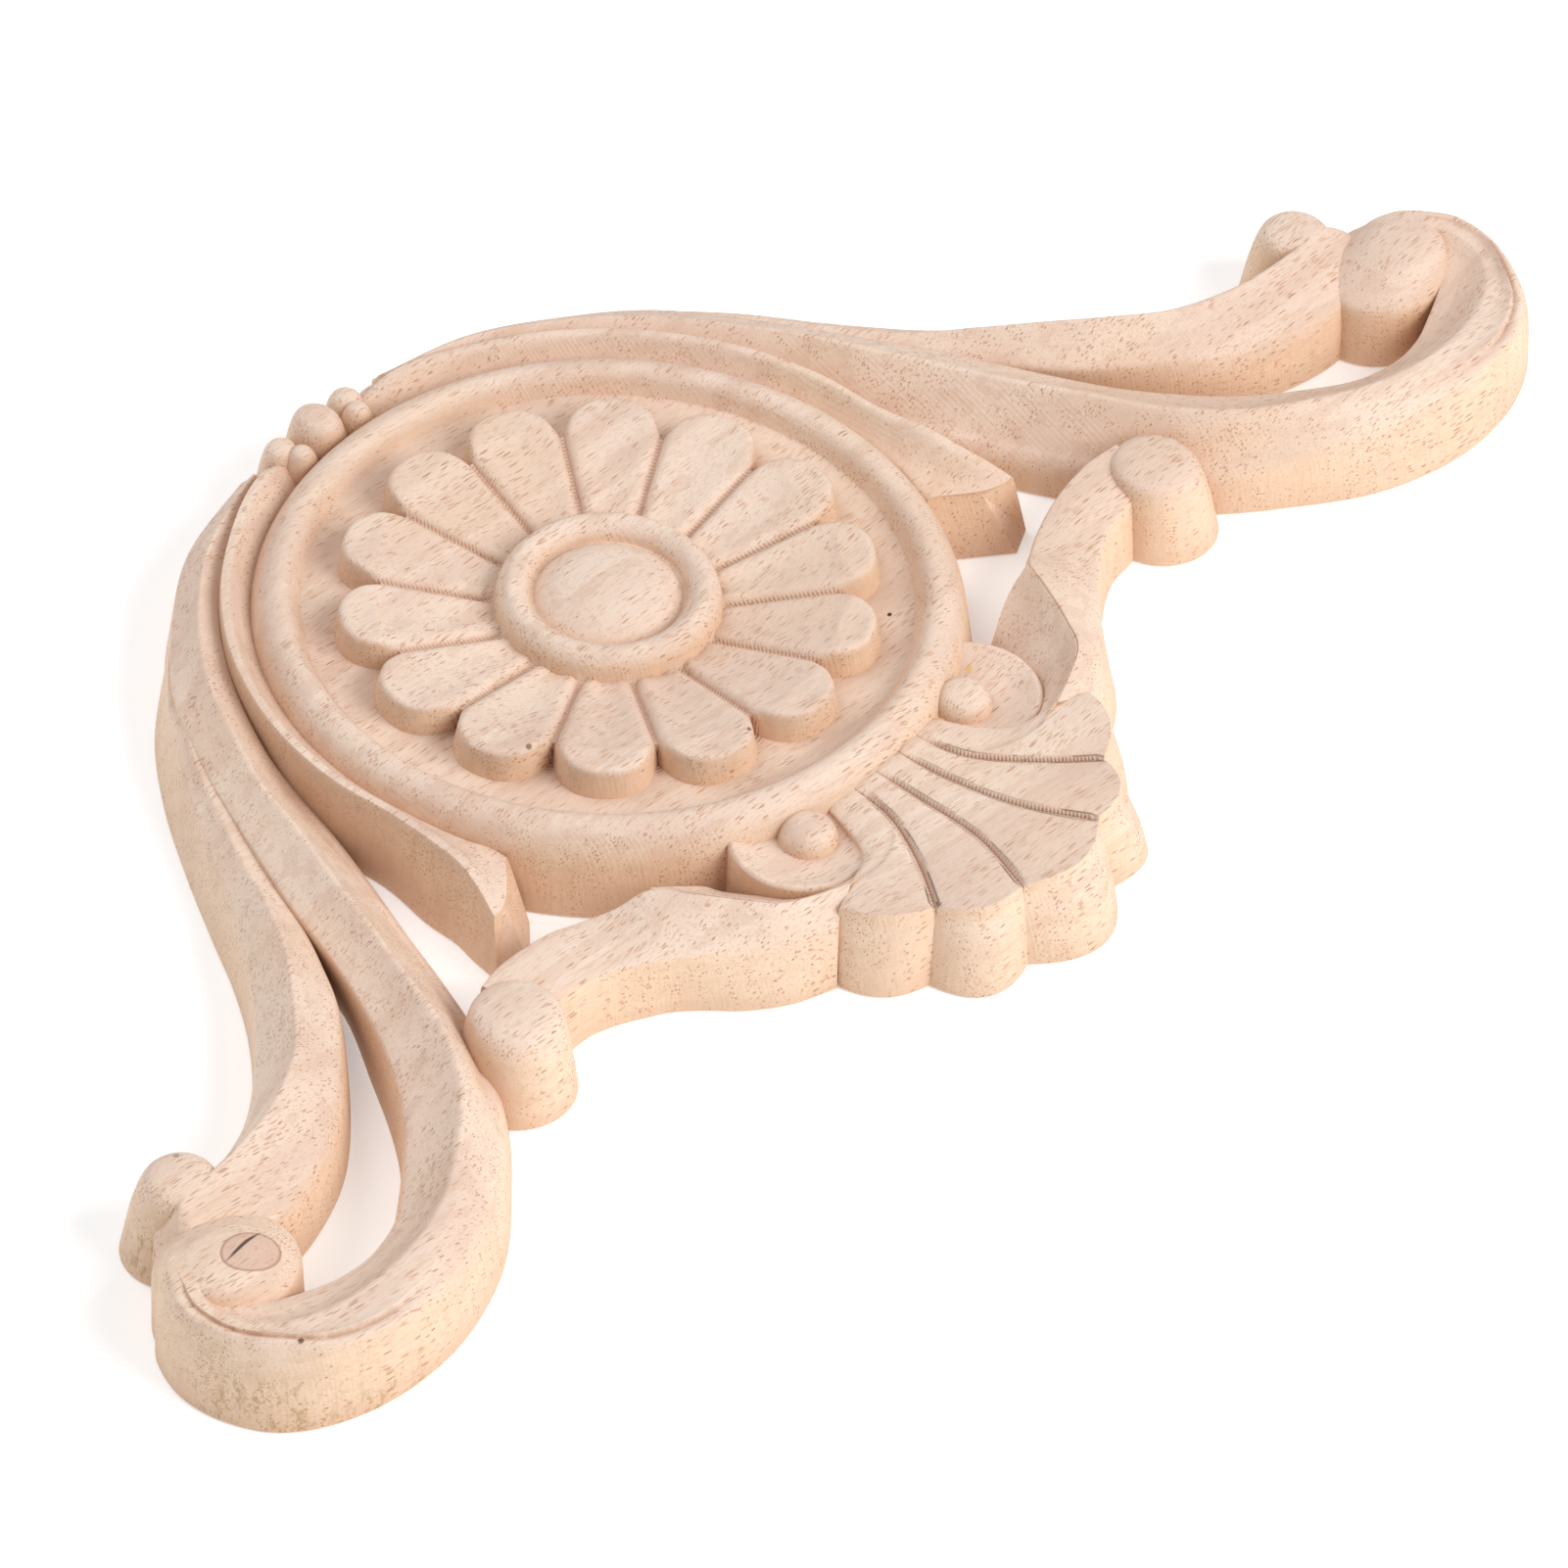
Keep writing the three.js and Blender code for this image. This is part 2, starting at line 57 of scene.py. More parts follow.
# Raised eye of the rosette, a rounded ring about a low dome
EYE_PROFILE = [
    [16.9, FIELD_HEIGHT], [16.3, 13.6], [14.95, 15.1], [13.45, 15.1], [11.9, 14.0], [11.2, 12.2],
    [9.6, 13.7], [6.7, 15.1], [0, 15.8],
]
DISC_ROUNDING = [0, 0.3, 0.5, 0.5, 0.5, 0.5, 0.5, 0.4, 0.06, 0.4, 0.5, 0.5, 0.5, 0.22, 0.5, 0.5, 0]

# Petals: radii, and heights above the back
PETAL_COUNT = 14
PETAL_TIP_RADIUS = 39.8
PETAL_NOTCH_RADIUS = 35.4
PETAL_ROOT_RADIUS = 16.2
PETAL_TIP_HEIGHT = 15.4
PETAL_ROOT_HEIGHT = 11.2
PETAL_GROOVE_WIDTH = 1.7
PETAL_GROOVE_DEPTH = 1.15
PETAL_WALL_LEAN = 0.9
PETAL_HOLLOW = 0.45
PETAL_TIP_START = PETAL_NOTCH_RADIUS - 2.6
PETAL_EDGE_WIDTH = 1.05
GROOVE_FLOOR_RADIUS = 33.2

# Levels of a petal's wall, from its foot up: how far it stands out, how much more it does so beside a groove,
# and, for its edge, how far it lies below the top
PETAL_FOOT = [PETAL_WALL_LEAN, 0.3]
PETAL_EDGE = [
    [0.28, 0.75, 2.2], [0.1, 0.72, 1.2], [0.0, 0.42, 0.75], [-0.12, 0.22, 0.42], [-0.34, 0.08, 0.17],
    [-0.66, 0, 0.04], [-PETAL_EDGE_WIDTH, 0, 0.0],
]

# Strip that hugs the ring: its section as [radius, height], and the angles in degrees that it passes.
# By the crown it starts at RING_STRIP_LOW of its height.
RING_STRIP_SECTION = [
    [57.6, 0], [56.5, 14.1], [55.2, 14.2], [53.4, 11.7], [51.6, 10.1], [50.0, 0], [53.8, 0],
]
RING_STRIP_START = 83
RING_STRIP_LOW = 0.72
RING_STRIP_ROUNDING = [0, 0.16, 0.3, 0.45, 0.3, 0, 0]
RING_STRIP_ANGLES = [75, 65, 50, 35, 20, 6, -6]
RING_STRIP_END = [
    [[58.9, -14.8, 0], [57.0, -14.8, 14.5], [55.6, -14.6, 14.4], [52.7, -14.8, 11.5], [50.1, -14.2, 10.2],
     [48.5, -14.9, 0], [54.5, -14.8, 0]],
    [[59.3, -20.9, 0], [57.4, -19.9, 14.0], [55.8, -19.6, 13.8], [52.5, -19.2, 11.0], [48.7, -17.7, 10.1],
     [48.0, -17.9, 0], [54.5, -20.9, 0]],
    [[60.3, -24.9, 0], [58.5, -24.2, 12.8], [56.8, -24.0, 12.5], [53.5, -23.2, 10.6], [48.1, -19.1, 10.0],
     [48.5, -19.9, 0], [54.9, -26.0, 0]],
    [[61.3, -30.4, 0], [59.9, -28.4, 10.8], [58.1, -28.2, 10.4], [54.7, -26.6, 10.1], [47.9, -20.4, 10.0],
     [49.3, -26.2, 0], [56.4, -32.4, 0]],
]

# Main scroll of the wing, from the crown down past the ring, round the volute and into its eye.
# Each row is [crest, far edge, far foot, near edge, near foot, crown of the near face].
MAIN_SCROLL_ROWS = [
    [[14.2, 56.0, 13.1], [15.0, 58.0, 10.4], [15.2, 59.2], [13.6, 54.5, 11.7], [13.4, 53.9], 0],
    [[29.3, 51.2, 13.3], [31.0, 54.2, 10.2], [31.6, 55.3], [27.9, 48.8, 11.7], [27.3, 47.9], 0],
    [[40.9, 43.4, 13.3], [43.3, 46.4, 10.2], [44.2, 47.4], [39.0, 41.1, 11.7], [38.4, 40.4], 0],
    [[50.5, 33.5, 13.3], [54.7, 36.4, 10.0], [54.5, 35.9], [47.5, 31.3, 11.0], [46.5, 30.8], 0],
    [[57.5, 22.2, 13.3], [62.9, 23.8, 9.8], [63.1, 23.8], [53.8, 20.7, 10.2], [52.5, 20.3], 0],
    [[62.6, 12.6, 13.4], [68.4, 12.7, 9.8], [68.6, 12.2], [57.5, 11.9, 8.2], [54.5, 10.6], 0],
    [[65.8, 3.9, 13.6], [72.8, 3.3, 10.0], [72.6, 2.5], [60.2, 2.7, 7.1], [57.1, 1.4], 0],
    [[69.8, -6.2, 13.7], [77.0, -6.1, 10.2], [76.9, -7.1], [63.8, -7.5, 6.6], [61.0, -8.6], 0],
    [[73.9, -16.8, 13.8], [81.0, -16.7, 10.2], [80.5, -18.3], [67.8, -17.1, 6.5], [65.0, -18.2], 0],
    [[78.5, -27.5, 14.2], [86.3, -28.3, 10.1], [87.8, -29.6], [71.7, -26.7, 6.6], [68.9, -28.0], 0.1],
    [[83.3, -38.6, 14.5], [92.3, -37.5, 10.0], [93.6, -38.1], [76.4, -36.8, 6.9], [73.8, -38.3], 0.4],
    [[90.3, -48.0, 14.7], [97.9, -44.0, 9.9], [99.2, -44.6], [83.9, -46.6, 8.0], [81.3, -48.8], 1.0],
    [[99.1, -54.8, 14.8], [104.1, -49.3, 9.8], [105.0, -48.6], [92.9, -55.9, 10.0], [90.5, -57.3], 1.0],
    [[108.7, -60.1, 14.9], [111.1, -54.1, 9.7], [111.6, -53.1], [104.7, -63.2, 12.5], [102.1, -65.8], 0.7],
    [[118.7, -62.5, 15.0], [118.3, -56.1, 9.7], [118.2, -55.0], [117.1, -67.8, 13.1], [115.3, -70.3], 0.5],
    [[127.2, -62.2, 14.5], [124.3, -55.8, 9.9], [124.0, -54.8], [128.1, -69.1, 13.9], [127.7, -70.5], -0.2],
    [[133.9, -60.6, 14.2], [129.7, -54.1, 10.2], [129.4, -53.4], [136.9, -65.9, 14.3], [138.0, -67.4], -0.6],
    [[139.4, -57.4, 14.1], [134.9, -52.0, 11.2], [135.3, -52.7], [141.6, -60.6, 14.8], [145.0, -62.0], -0.6],
    [[142.6, -53.0, 14.2], [138.7, -49.3, 12.5], [138.9, -49.9], [145.4, -54.4, 14.9], [148.3, -54.8], -0.5],
    [[143.0, -47.7, 14.5], [140.5, -46.4, 13.7], [140.3, -46.8], [146.4, -47.4, 15.0], [148.7, -47.8], -0.2],
    [[140.9, -43.8, 15.1], [138.7, -44.4, 14.9], [138.7, -44.6], [144.4, -42.4, 14.8], [146.5, -41.8], 0],
    [[138.9, -41.4, 15.2], [137.4, -43.0, 15.1], [137.4, -43.2], [141.6, -39.1, 14.7], [143.3, -38.3], 0],
    [[136.3, -39.6, 14.9], [135.9, -42.4, 15.0], [135.9, -42.6], [137.6, -36.8, 13.7], [138.6, -34.8], 0],
    [[134.2, -39.3, 13.9], [134.2, -42.2, 14.6], [134.2, -42.4], [134.1, -36.6, 11.6], [134.3, -34.6], 0],
]

# Outer scroll of the wing, with the same kind of rows
OUTER_SCROLL_ROWS = [
    [[42.4, 46.0, 10.1], [43.0, 46.7, 9.6], [43.8, 47.7], [41.4, 44.6, 10.1], [40.8, 44.0], 0],
    [[52.9, 36.5, 10.0], [54.3, 37.7, 9.1], [55.9, 39.0], [51.5, 35.3, 9.8], [50.9, 34.7], 0],
    [[61.9, 26.2, 9.9], [63.6, 27.1, 8.5], [65.6, 28.6], [59.4, 24.6, 9.7], [58.8, 24.0], 0],
    [[68.9, 14.8, 9.6], [71.4, 15.9, 7.7], [73.9, 17.1], [66.2, 13.9, 9.5], [65.6, 13.3], 0],
    [[75.3, 3.7, 10.2], [79.0, 4.9, 7.5], [81.3, 5.6], [72.2, 3.3, 9.2], [71.6, 2.5], -0.1],
    [[80.7, -5.1, 12.7], [85.2, -2.8, 7.8], [86.5, -2.8], [77.0, -7.0, 9.4], [76.4, -7.6], -0.2],
    [[86.3, -12.6, 14.4], [91.0, -10.2, 8.2], [92.3, -10.5], [81.5, -14.7, 9.7], [80.9, -15.7], -0.2],
    [[93.5, -20.4, 15.1], [97.5, -16.6, 8.7], [98.7, -17.0], [87.1, -22.7, 10.2], [86.3, -23.4], -0.2],
    [[100.7, -26.7, 15.2], [104.3, -22.3, 8.8], [105.1, -21.5], [95.7, -30.2, 10.2], [95.1, -32.0], -0.1],
    [[109.1, -30.6, 15.4], [110.9, -26.7, 9.3], [111.5, -24.0], [105.1, -36.2, 10.2], [104.1, -38.6], 0],
    [[117.2, -32.3, 15.3], [118.7, -29.3, 9.6], [118.7, -26.4], [114.1, -40.5, 10.2], [113.3, -42.3], 0.1],
    [[125.2, -32.8, 15.2], [125.7, -30.2, 9.8], [125.7, -27.4], [123.1, -42.4, 10.4], [122.2, -43.7], 0.2],
    [[130.7, -32.8, 14.9], [131.7, -29.2, 9.2], [131.7, -27.8], [130.7, -40.6, 11.2], [130.7, -41.2], 0.2],
    [[133.3, -34.0, 13.8], [134.9, -31.0, 9.2], [135.6, -30.4], [133.6, -38.6, 12.4], [133.6, -39.4], 0.1],
    [[135.5, -35.4, 11.6], [136.5, -33.3, 8.4], [136.9, -33.1], [135.6, -38.8, 11.4], [135.6, -39.4], 0],
]

# How far each row's face stands over the ledge on its outer side, as a share of LEDGE_STEP, and how far the
# ledge lies inwards, as a share of the way to the middle of the face. A fine line is drawn along the ledge
# from row LEDGE_FROM to row LEDGE_TO, on points higher than LEDGE_ABOVE.
LEDGE_SHARES = [0.0] * 14 + [0.1, 0.8, 1.0, 1.0, 1.0, 0.8, 0.2, 0.0, 0.0, 0.0]
LEDGE_INSETS = [0.4] * 18 + [0.5, 0.8, 0.9, 0.6, 0.4, 0.4]
LEDGE_STEP = 0.8
LEDGE_SLANT = 0.12
LEDGE_FROM = 15
LEDGE_TO = 20
LEDGE_ABOVE = 11
SCROLL_ROUNDING = [0, 0.14, 0.5, 0.2, 0.5, 0.12, 0.06, 0.45, 0.5, 0.5, 0]

# Lower strip; rows are [ring side foot, ring side edge, lower edge, lower foot]
LOWER_STRIP_ROWS = [
    [[22.3, -58.7], [23.8, -64.0, 13.1], [29.9, -66.4, 10.7], [31.3, -67.8]],
    [[30.8, -58.1], [33.4, -60.5, 14.4], [36.6, -61.7, 10.7], [37.4, -65.2]],
    [[35.2, -53.5], [37.2, -55.6, 14.6], [41.4, -58.4, 10.2], [42.8, -61.0]],
    [[39.2, -47.2], [41.0, -48.8, 14.5], [45.9, -55.1, 10.2], [46.7, -56.3]],
    [[42.6, -42.1], [43.8, -43.5, 14.0], [49.3, -52.2, 10.2], [49.9, -53.0]],
    [[47.5, -39.1], [48.1, -40.7, 11.6], [52.5, -50.0, 10.3], [53.1, -50.9]],
    [[52.9, -37.1], [53.1, -38.4, 11.2], [56.0, -47.9, 10.4], [56.5, -48.9]],
    [[59.0, -35.7], [59.1, -37.0, 12.4], [60.4, -46.2, 10.6], [60.8, -47.2]],
    [[67.4, -34.7], [67.2, -36.0, 12.5], [65.6, -45.2, 10.8], [65.8, -46.7]],
    [[73.6, -36.1], [73.1, -37.2, 13.3], [72.6, -44.2, 11.2], [72.6, -45.2]],
]

# Leaf round the cup; rows are [crest, hollow, valley, foot of the valley]
LEAF_ROWS = [
    [[7.9, -52.7, 10.4], [8.4, -52.5, 10.2], [9.0, -52.3, 10.1], [9.5, -51.7]],
    [[9.7, -58.8, 11.2], [10.3, -58.3, 10.9], [10.9, -57.8, 10.7], [11.5, -56.8]],
    [[15.8, -63.6, 12.0], [16.2, -62.8, 11.4], [16.6, -62.0, 11.0], [17.0, -60.8]],
    [[23.8, -64.0, 13.1], [23.2, -62.9, 11.8], [22.7, -61.8, 10.8], [22.3, -59.7]],
    [[33.4, -60.5, 14.4], [30.5, -58.9, 10.8], [27.7, -57.5, 8.8], [26.8, -56.6]],
    [[37.2, -55.6, 14.6], [33.6, -53.8, 10.2], [29.7, -52.0, 7.4], [28.3, -51.6]],
    [[41.0, -48.8, 14.5], [36.8, -48.0, 10.0], [31.5, -47.7, 6.7], [29.3, -47.5]],
    [[43.8, -43.5, 14.0], [39.0, -43.2, 10.4], [32.4, -45.8, 7.0], [29.3, -45.5]],
]

# Cup and bead at each side of the shell, as [radius, height]. The cup is cut off at CUP_STOP_RADIUS from the
# ring's middle.
CUP_CENTRE = [19.2, -51.6]
CUP_PROFILE = [[11.4, 0], [10.9, 10.4], [10.3, 11.0], [9.5, 10.6], [6.6, 9.4], [0, 9.2]]
CUP_STOP_RADIUS = 47.0
COLLAR_RADIUS = 12.4
BEAD_CENTRE = [17.9, -51.6]
BEAD_PROFILE = [[4.9, 7.2], [4.4, 9.6], [3.8, 11.2], [2.4, 12.4], [0, 12.8]]

# Shell grooves, each a row of points from the ring to the rim, and the feet of the lines between the lobes
INNER_GROOVE = [[2.6, -49.7, 11.2], [2.8, -58.4, 10.6], [4.3, -71.5, 11.6], [8.8, -83.0, 12.5]]
OUTER_GROOVE = [[7.0, -49.7, 10.9], [8.3, -58.8, 10.3], [13.4, -67.9, 11.0], [19.6, -75.8, 11.8]]
SHELL_SIDE = [[11.1, -47.6, 9.8], [16.2, -59.8, 10.4], [23.3, -63.4, 11.8], [28.7, -65.6, 12.3]]
LOBE_FEET = [[10.1, -85.6], [22.4, -77.4], [30.9, -67.7]]
LOBE_RISE = 1.3
GROOVE_ABOVE = 8.5

# A lobe's rounded rim as [share of the way, rise], and its front wall as [share of the way down, height]
LOBE_RIM = [[0.93, 1.28], [0.965, 1.1], [0.99, 0.75], [1.0, 0.2]]
LOBE_WALL = [[0.1, 11.0], [0.2, 10.2], [0.3, 9.5], [0.5, 7.3], [0.72, 4.8], [0.88, 2.3], [1, 0]]

# Knobs: foot and crown are half widths, shift moves the crown off the foot, and a skirt stands upright
LOWER_KNOB = dict(at=[75.0, -45.2], foot=[8.7, 8.7], crown=[6.5, 6.5], height=13.7, shift=[-1.3, 1.3])
SMALL_KNOB = dict(at=[128.7, -29.2], foot=[7.8, 7.8], crown=[5.2, 5.2], height=14.8, shift=[-0.6, -0.7])
LARGE_KNOB = dict(
    at=[133.5, -43.0], foot=[11.1, 10.0], crown=[6.9, 5.9], height=15.1, shift=[3.0, -1.1], skirt=True,
)
CROWN_BUMPS = [
    dict(at=[0, 56.0], foot=[6.6, 5.9], crown=[3.2, 3.7], height=14.9),
    dict(at=[7.3, 56.7], foot=[5.6, 4.4], crown=[2.4, 2.4], height=13.4),
    dict(at=[6.3, 53.5], foot=[5.0, 4.0], crown=[1.9, 1.9], height=13.6),
    dict(at=[12.5, 55.1], foot=[6.2, 4.4], crown=[2.7, 2.1], height=11.5, turn=-0.3),
]

# A knob's levels as [share of the height, share of the way from foot to crown, share of the width]
KNOB_LOWER = [[0, 0, 1], [0.56, 0.45, 1], [0.86, 0.82, 1]]
SKIRT_LOWER = [[0, 0, 1], [0.68, 0.06, 1], [0.86, 0.6, 1]]
KNOB_CAP = [[0.965, 1, 0.93], [1.01, 1, 0.66], [1.03, 1, 0.3], [1.035, 1, 0]]

# Colours of the wood, as linear red, green and blue; the wall and recess colours are painted shade
CREAM = (0.86, 0.69, 0.575)
ROSE = (0.79, 0.605, 0.50)
DUSK = (0.68, 0.475, 0.365)
HONEY = (0.84, 0.615, 0.43)
# Painted shade on steep faces: a yellower tint, and browner streaks
WALL_SHADE_HONEY = (0.86, 0.62, 0.40)
WALL_SHADE_BROWN = (0.66, 0.42, 0.25)
# Painted shade in recesses
RECESS_SHADE_BROWN = (0.50, 0.265, 0.15)
GROOVE_BROWN = (0.52, 0.28, 0.19)
STROKE_TAN = (0.66, 0.42, 0.28)
PORE_DARK = (0.36, 0.15, 0.08)
PORE_LIGHT = (0.66, 0.37, 0.21)
KNOT_RED = (0.60, 0.37, 0.29)
KNOT_RIM = (0.30, 0.13, 0.09)
CRACK_DARK = (0.05, 0.025, 0.02)
STAIN_GREEN = (0.44, 0.28, 0.12)

# Grain direction on the plan in radians from +X, spacings of the cutter's ridges and of the ropes' turns, and
# how far the painted shade in a recess reaches
GRAIN_TURN = -0.12
RIDGE_SPACING = 0.55
ROPE_SPACING = 0.62
RECESS_SHADE_REACH = 9

# Where the cutter went round a wall level by level, as (place on the right wing, half length, half width)
LEVEL_CUTS = [((131, -36), 17, 15), ((75, -45), 10, 10)]

# Flaws, on the plan: the knot and its crack as (place, half length, half width, turn), small marks as
# (place, size, colour, strength), and stains low on the walls as (place, half length, half width, top)
KNOT = ((-132.5, -46.4), 4.7, 3.5, -0.16)
CRACK = ((-132.5, -45.1), 5.2, 0.36, 0.12)
SPECKS = [
    ((24.7, -32.8), 0.55, (0.02, 0.012, 0.01), 0.95), ((24.1, -47.9), 0.8, (0.72, 0.46, 0.1), 0.7),
    ((-34.0, -13.2), 0.7, (0.22, 0.12, 0.08), 0.85), ((-10.9, -35.0), 0.5, (0.2, 0.1, 0.07), 0.85),
    ((-140.2, -62.0), 0.7, (0.14, 0.06, 0.04), 0.9), ((-125.8, -27.1), 0.7, (0.3, 0.22, 0.14), 0.7),
]
STAINS = [((-143, -58), 15, 13, 12.0), ((-130, -67), 11, 6, 9.0), ((-134, -31), 7, 7, 12.0)]

# Camera: place in metres, and its right, up and backward directions
CAMERA_PLACE = (-0.74739, -0.59904, 0.92075)
CAMERA_AXES = (
    (0.624107, -0.780882, 0.026711), (0.537265, 0.453720, 0.710975), (-0.567307, -0.429374, 0.702710),
)
CAMERA_LENS = 207.95

# Light: a large soft key from the camera's right, a softer fill from behind on its left, and a white surround
KEY_PLACE = (0.25, -1.14, 0.9)
KEY_SIZE = 1.0
KEY_POWER = 16.3
FILL_PLACE = (-0.2, 0.9, 1.15)
FILL_SIZE = 1.3
FILL_POWER = 8.5
WORLD_STRENGTH = 0.39
FLOOR_COLOR = (0.93, 0.93, 0.93)
FLOOR_GLOW = 0.3
FLOOR_HALF = 3.0
FLOOR_DROP = 0.0003


def lerp(a, b, t):
    return a + (b - a) * t


def on_floor(point):
    return [point[0], point[1], 0.0]


def between(a, b, t, rise=0.0):
    return [lerp(a[0], b[0], t), lerp(a[1], b[1], t), lerp(a[2], b[2], t) + rise]


def smooth_along(rows, per_row):
    """A smooth run through rows of points, evaluated per_row times between two rows."""
    rows = np.array(rows, dtype=float)
    last = len(rows) - 1
    out = []
    for step in range(last * per_row + 1):
        at = step / per_row
        i = min(int(at), last - 1)
        t = at - i
        p0, p1, p2, p3 = (rows[k] for k in (max(i - 1, 0), i, i + 1, min(i + 2, last)))
        bend = 2 * p0 - 5 * p1 + 4 * p2 - p3
        twist = 3 * p1 - p0 - 3 * p2 + p3
        out.append(p1 + 0.5 * t * (p2 - p0 + t * (bend + t * twist)))
    return np.array(out)


def rounded(points, shares, steps=6, closed=True):
    """Rounds each corner of a line of points over its share of the way to both neighbours."""
    points = [np.array(p, dtype=float) for p in points]
    count = len(points)
    out = []
    for i, (point, share) in enumerate(zip(points, shares)):
        ends = not closed and i in (0, count - 1)
        if share == 0 or ends:
            out.append(point)
            continue
        start = lerp(point, points[i - 1], share)
        stop = lerp(point, points[(i + 1) % count], share)
        for k in range(steps + 1):
            t = k / steps
            out.append(start * (1 - t) ** 2 + point * 2 * t * (1 - t) + stop * t * t)
    return np.array(out)


def loft(loops, name, symmetric_end=False):
    """A closed mesh object through loops of equal point counts, with a fan over each end.

    A symmetric end is closed by faces from side to side, for a last loop whose point j mirrors point -1 - j.
    """
    loops = [np.asarray(loop) for loop in loops]
    count = len(loops[0])
    points = np.concatenate(loops)
    faces = []
    for i in range(len(loops) - 1):
        for j in range(count):
            a = i * count + j
            b = i * count + (j + 1) % count
            faces.append((a, b, b + count, a + count))
    hubs = [loops[0].mean(axis=0), loops[-1].mean(axis=0)]
    ends = [0, len(loops) - 1]
    if symmetric_end:
        first = ends.pop() * count
        hubs.pop()
        for j in range(count // 2):
            face = [first + j, first + j + 1, first + count - 2 - j, first + count - 1 - j]
            faces.append(tuple(dict.fromkeys(face)))
    for end, row in enumerate(ends):
        hub = len(points) + end
        for j in range(count):
            a = row * count + j
            b = row * count + (j + 1) % count
            faces.append((hub, b, a) if end == 0 else (hub, a, b))
    return mesh_object(np.vstack([points, hubs]), faces, name)


def mesh_object(points, faces, name):
    mesh = bpy.data.meshes.new(name)
    mesh.from_pydata([tuple(p) for p in points], [], faces)
    mesh.validate()
    piece = bpy.data.objects.new(name, mesh)
    bpy.context.scene.collection.objects.link(piece)
    return piece


def mirrored(piece):
    """The same mesh on the other side of x = 0."""
    twin = bpy.data.objects.new(piece.name + "_left", piece.data.copy())
    twin.data.transform(Matrix.Scale(-1, 4, (1, 0, 0)))
    twin.data.flip_normals()
    bpy.context.scene.collection.objects.link(twin)
    return twin


def turned(centre, profile, facets, name):
    """A solid turned about an upright axis; the profile runs from its foot to the axis on top."""
    angles = np.arange(facets) * 2 * math.pi / facets
    loops = []
    for radius, height in profile:
        radius = max(radius, LEAST_RADIUS)
        loops.append(np.stack([
            centre[0] + radius * np.cos(angles), centre[1] + radius * np.sin(angles), np.full(facets, height),
        ], axis=1))
    return loft(loops, name)


def strip(rows, shares, per_row, name, steps=6):
    """A strip from sections of equal point counts, its corners rounded by shares."""
    sections = smooth_along(rows, per_row)
    return loft([rounded(section, shares, steps) for section in sections], name)


def on_ring(radius, degrees, height):
    angle = math.radians(degrees)
    return [radius * math.cos(angle), radius * math.sin(angle), height]


def petal_height(radius):
    share = (radius - PETAL_ROOT_RADIUS) / (PETAL_NOTCH_RADIUS - PETAL_ROOT_RADIUS)
    return lerp(PETAL_ROOT_HEIGHT, PETAL_TIP_HEIGHT, float(np.clip(share, 0, 1)))


def petal_outline():
    """Outline of one petal along +X, counterclockwise from the near root corner."""
    slope = math.tan(math.pi / PETAL_COUNT)
    half_tip = PETAL_TIP_START * slope - PETAL_GROOVE_WIDTH / 2
    root = PETAL_ROOT_RADIUS - 1
    side = [(r, r * slope - PETAL_GROOVE_WIDTH / 2) for r in np.linspace(root, PETAL_TIP_START, 16)]
    tip = []
    for angle in np.linspace(0, math.pi / 2, 15)[1:]:
        along = math.sin(angle) ** 0.9
        tip.append((lerp(PETAL_TIP_START, PETAL_TIP_RADIUS, along), half_tip * math.cos(angle) ** 0.86))
    upper = side + tip
    lower = [(r, -w) for r, w in reversed(upper[:-1])]
    return np.array(list(reversed([*upper, *lower])))


def petal(name):
    """A wedge with a round tip, hollowed a little along its middle and lifted towards the tip."""
    outline = petal_outline()
    ahead = np.roll(outline, -1, axis=0)
    behind = np.roll(outline, 1, axis=0)
    tangent = ahead - behind
    normal = np.stack([-tangent[:, 1], tangent[:, 0]], axis=1)
    normal /= np.linalg.norm(normal, axis=1)[:, None]
    centre = outline.mean(axis=0)
    if np.sum(normal * (outline - centre)) < 0:
        normal = -normal
    beside = 1 - np.clip((outline[:, 0] - PETAL_TIP_START + 1) / 3, 0, 1)
    tops = np.array([petal_height(r) for r in outline[:, 0]])

    def level(out, lean, z):
        return np.column_stack([outline + normal * (out + lean * beside)[:, None], z])

    loops = [level(*PETAL_FOOT, np.full(len(outline), FIELD_HEIGHT - 1))]
    loops += [level(out, lean, tops - drop) for out, lean, drop in PETAL_EDGE]
    inner = outline + normal * -PETAL_EDGE_WIDTH
    for share in (0.25, 0.5, 0.75, 0.9):
        r = lerp(inner[:, 0], np.minimum(inner[:, 0], PETAL_NOTCH_RADIUS - 2), share * 0.5)
        w = inner[:, 1] * (1 - share)
        depth = PETAL_HOLLOW * math.sin(share * math.pi / 2)
        loops.append(np.column_stack([r, w, tops - depth]))
    return loft(loops, name, symmetric_end=True)


def groove_floor():
    rim = GROOVE_FLOOR_RADIUS
    root_floor = PETAL_ROOT_HEIGHT - PETAL_GROOVE_DEPTH
    profile = [
        [rim + PETAL_WALL_LEAN, FIELD_HEIGHT - 2], [rim, petal_height(rim) - PETAL_GROOVE_DEPTH],
        [PETAL_ROOT_RADIUS, root_floor], [0, root_floor],
    ]
    return turned([0, 0], profile, 112, "groove_floor")


def ring_strip():
    rows = [[on_ring(r, RING_STRIP_START, z * RING_STRIP_LOW) for r, z in RING_STRIP_SECTION]]
    rows += [[on_ring(r, degrees, z) for r, z in RING_STRIP_SECTION] for degrees in RING_STRIP_ANGLES]
    return strip(rows + RING_STRIP_END, RING_STRIP_ROUNDING, 6, "ring_strip")


def ledge_points(row, share, inset):
    """The edge of the face and the foot of the ledge below it, on the way from the near edge to mid-face."""
    crest, near_edge, crown = row[0], row[3], row[5]
    middle = between(crest, near_edge, 0.5, crown)
    edge = between(near_edge, middle, inset + LEDGE_SLANT, LEDGE_STEP * share)
    return edge, between(near_edge, middle, inset)


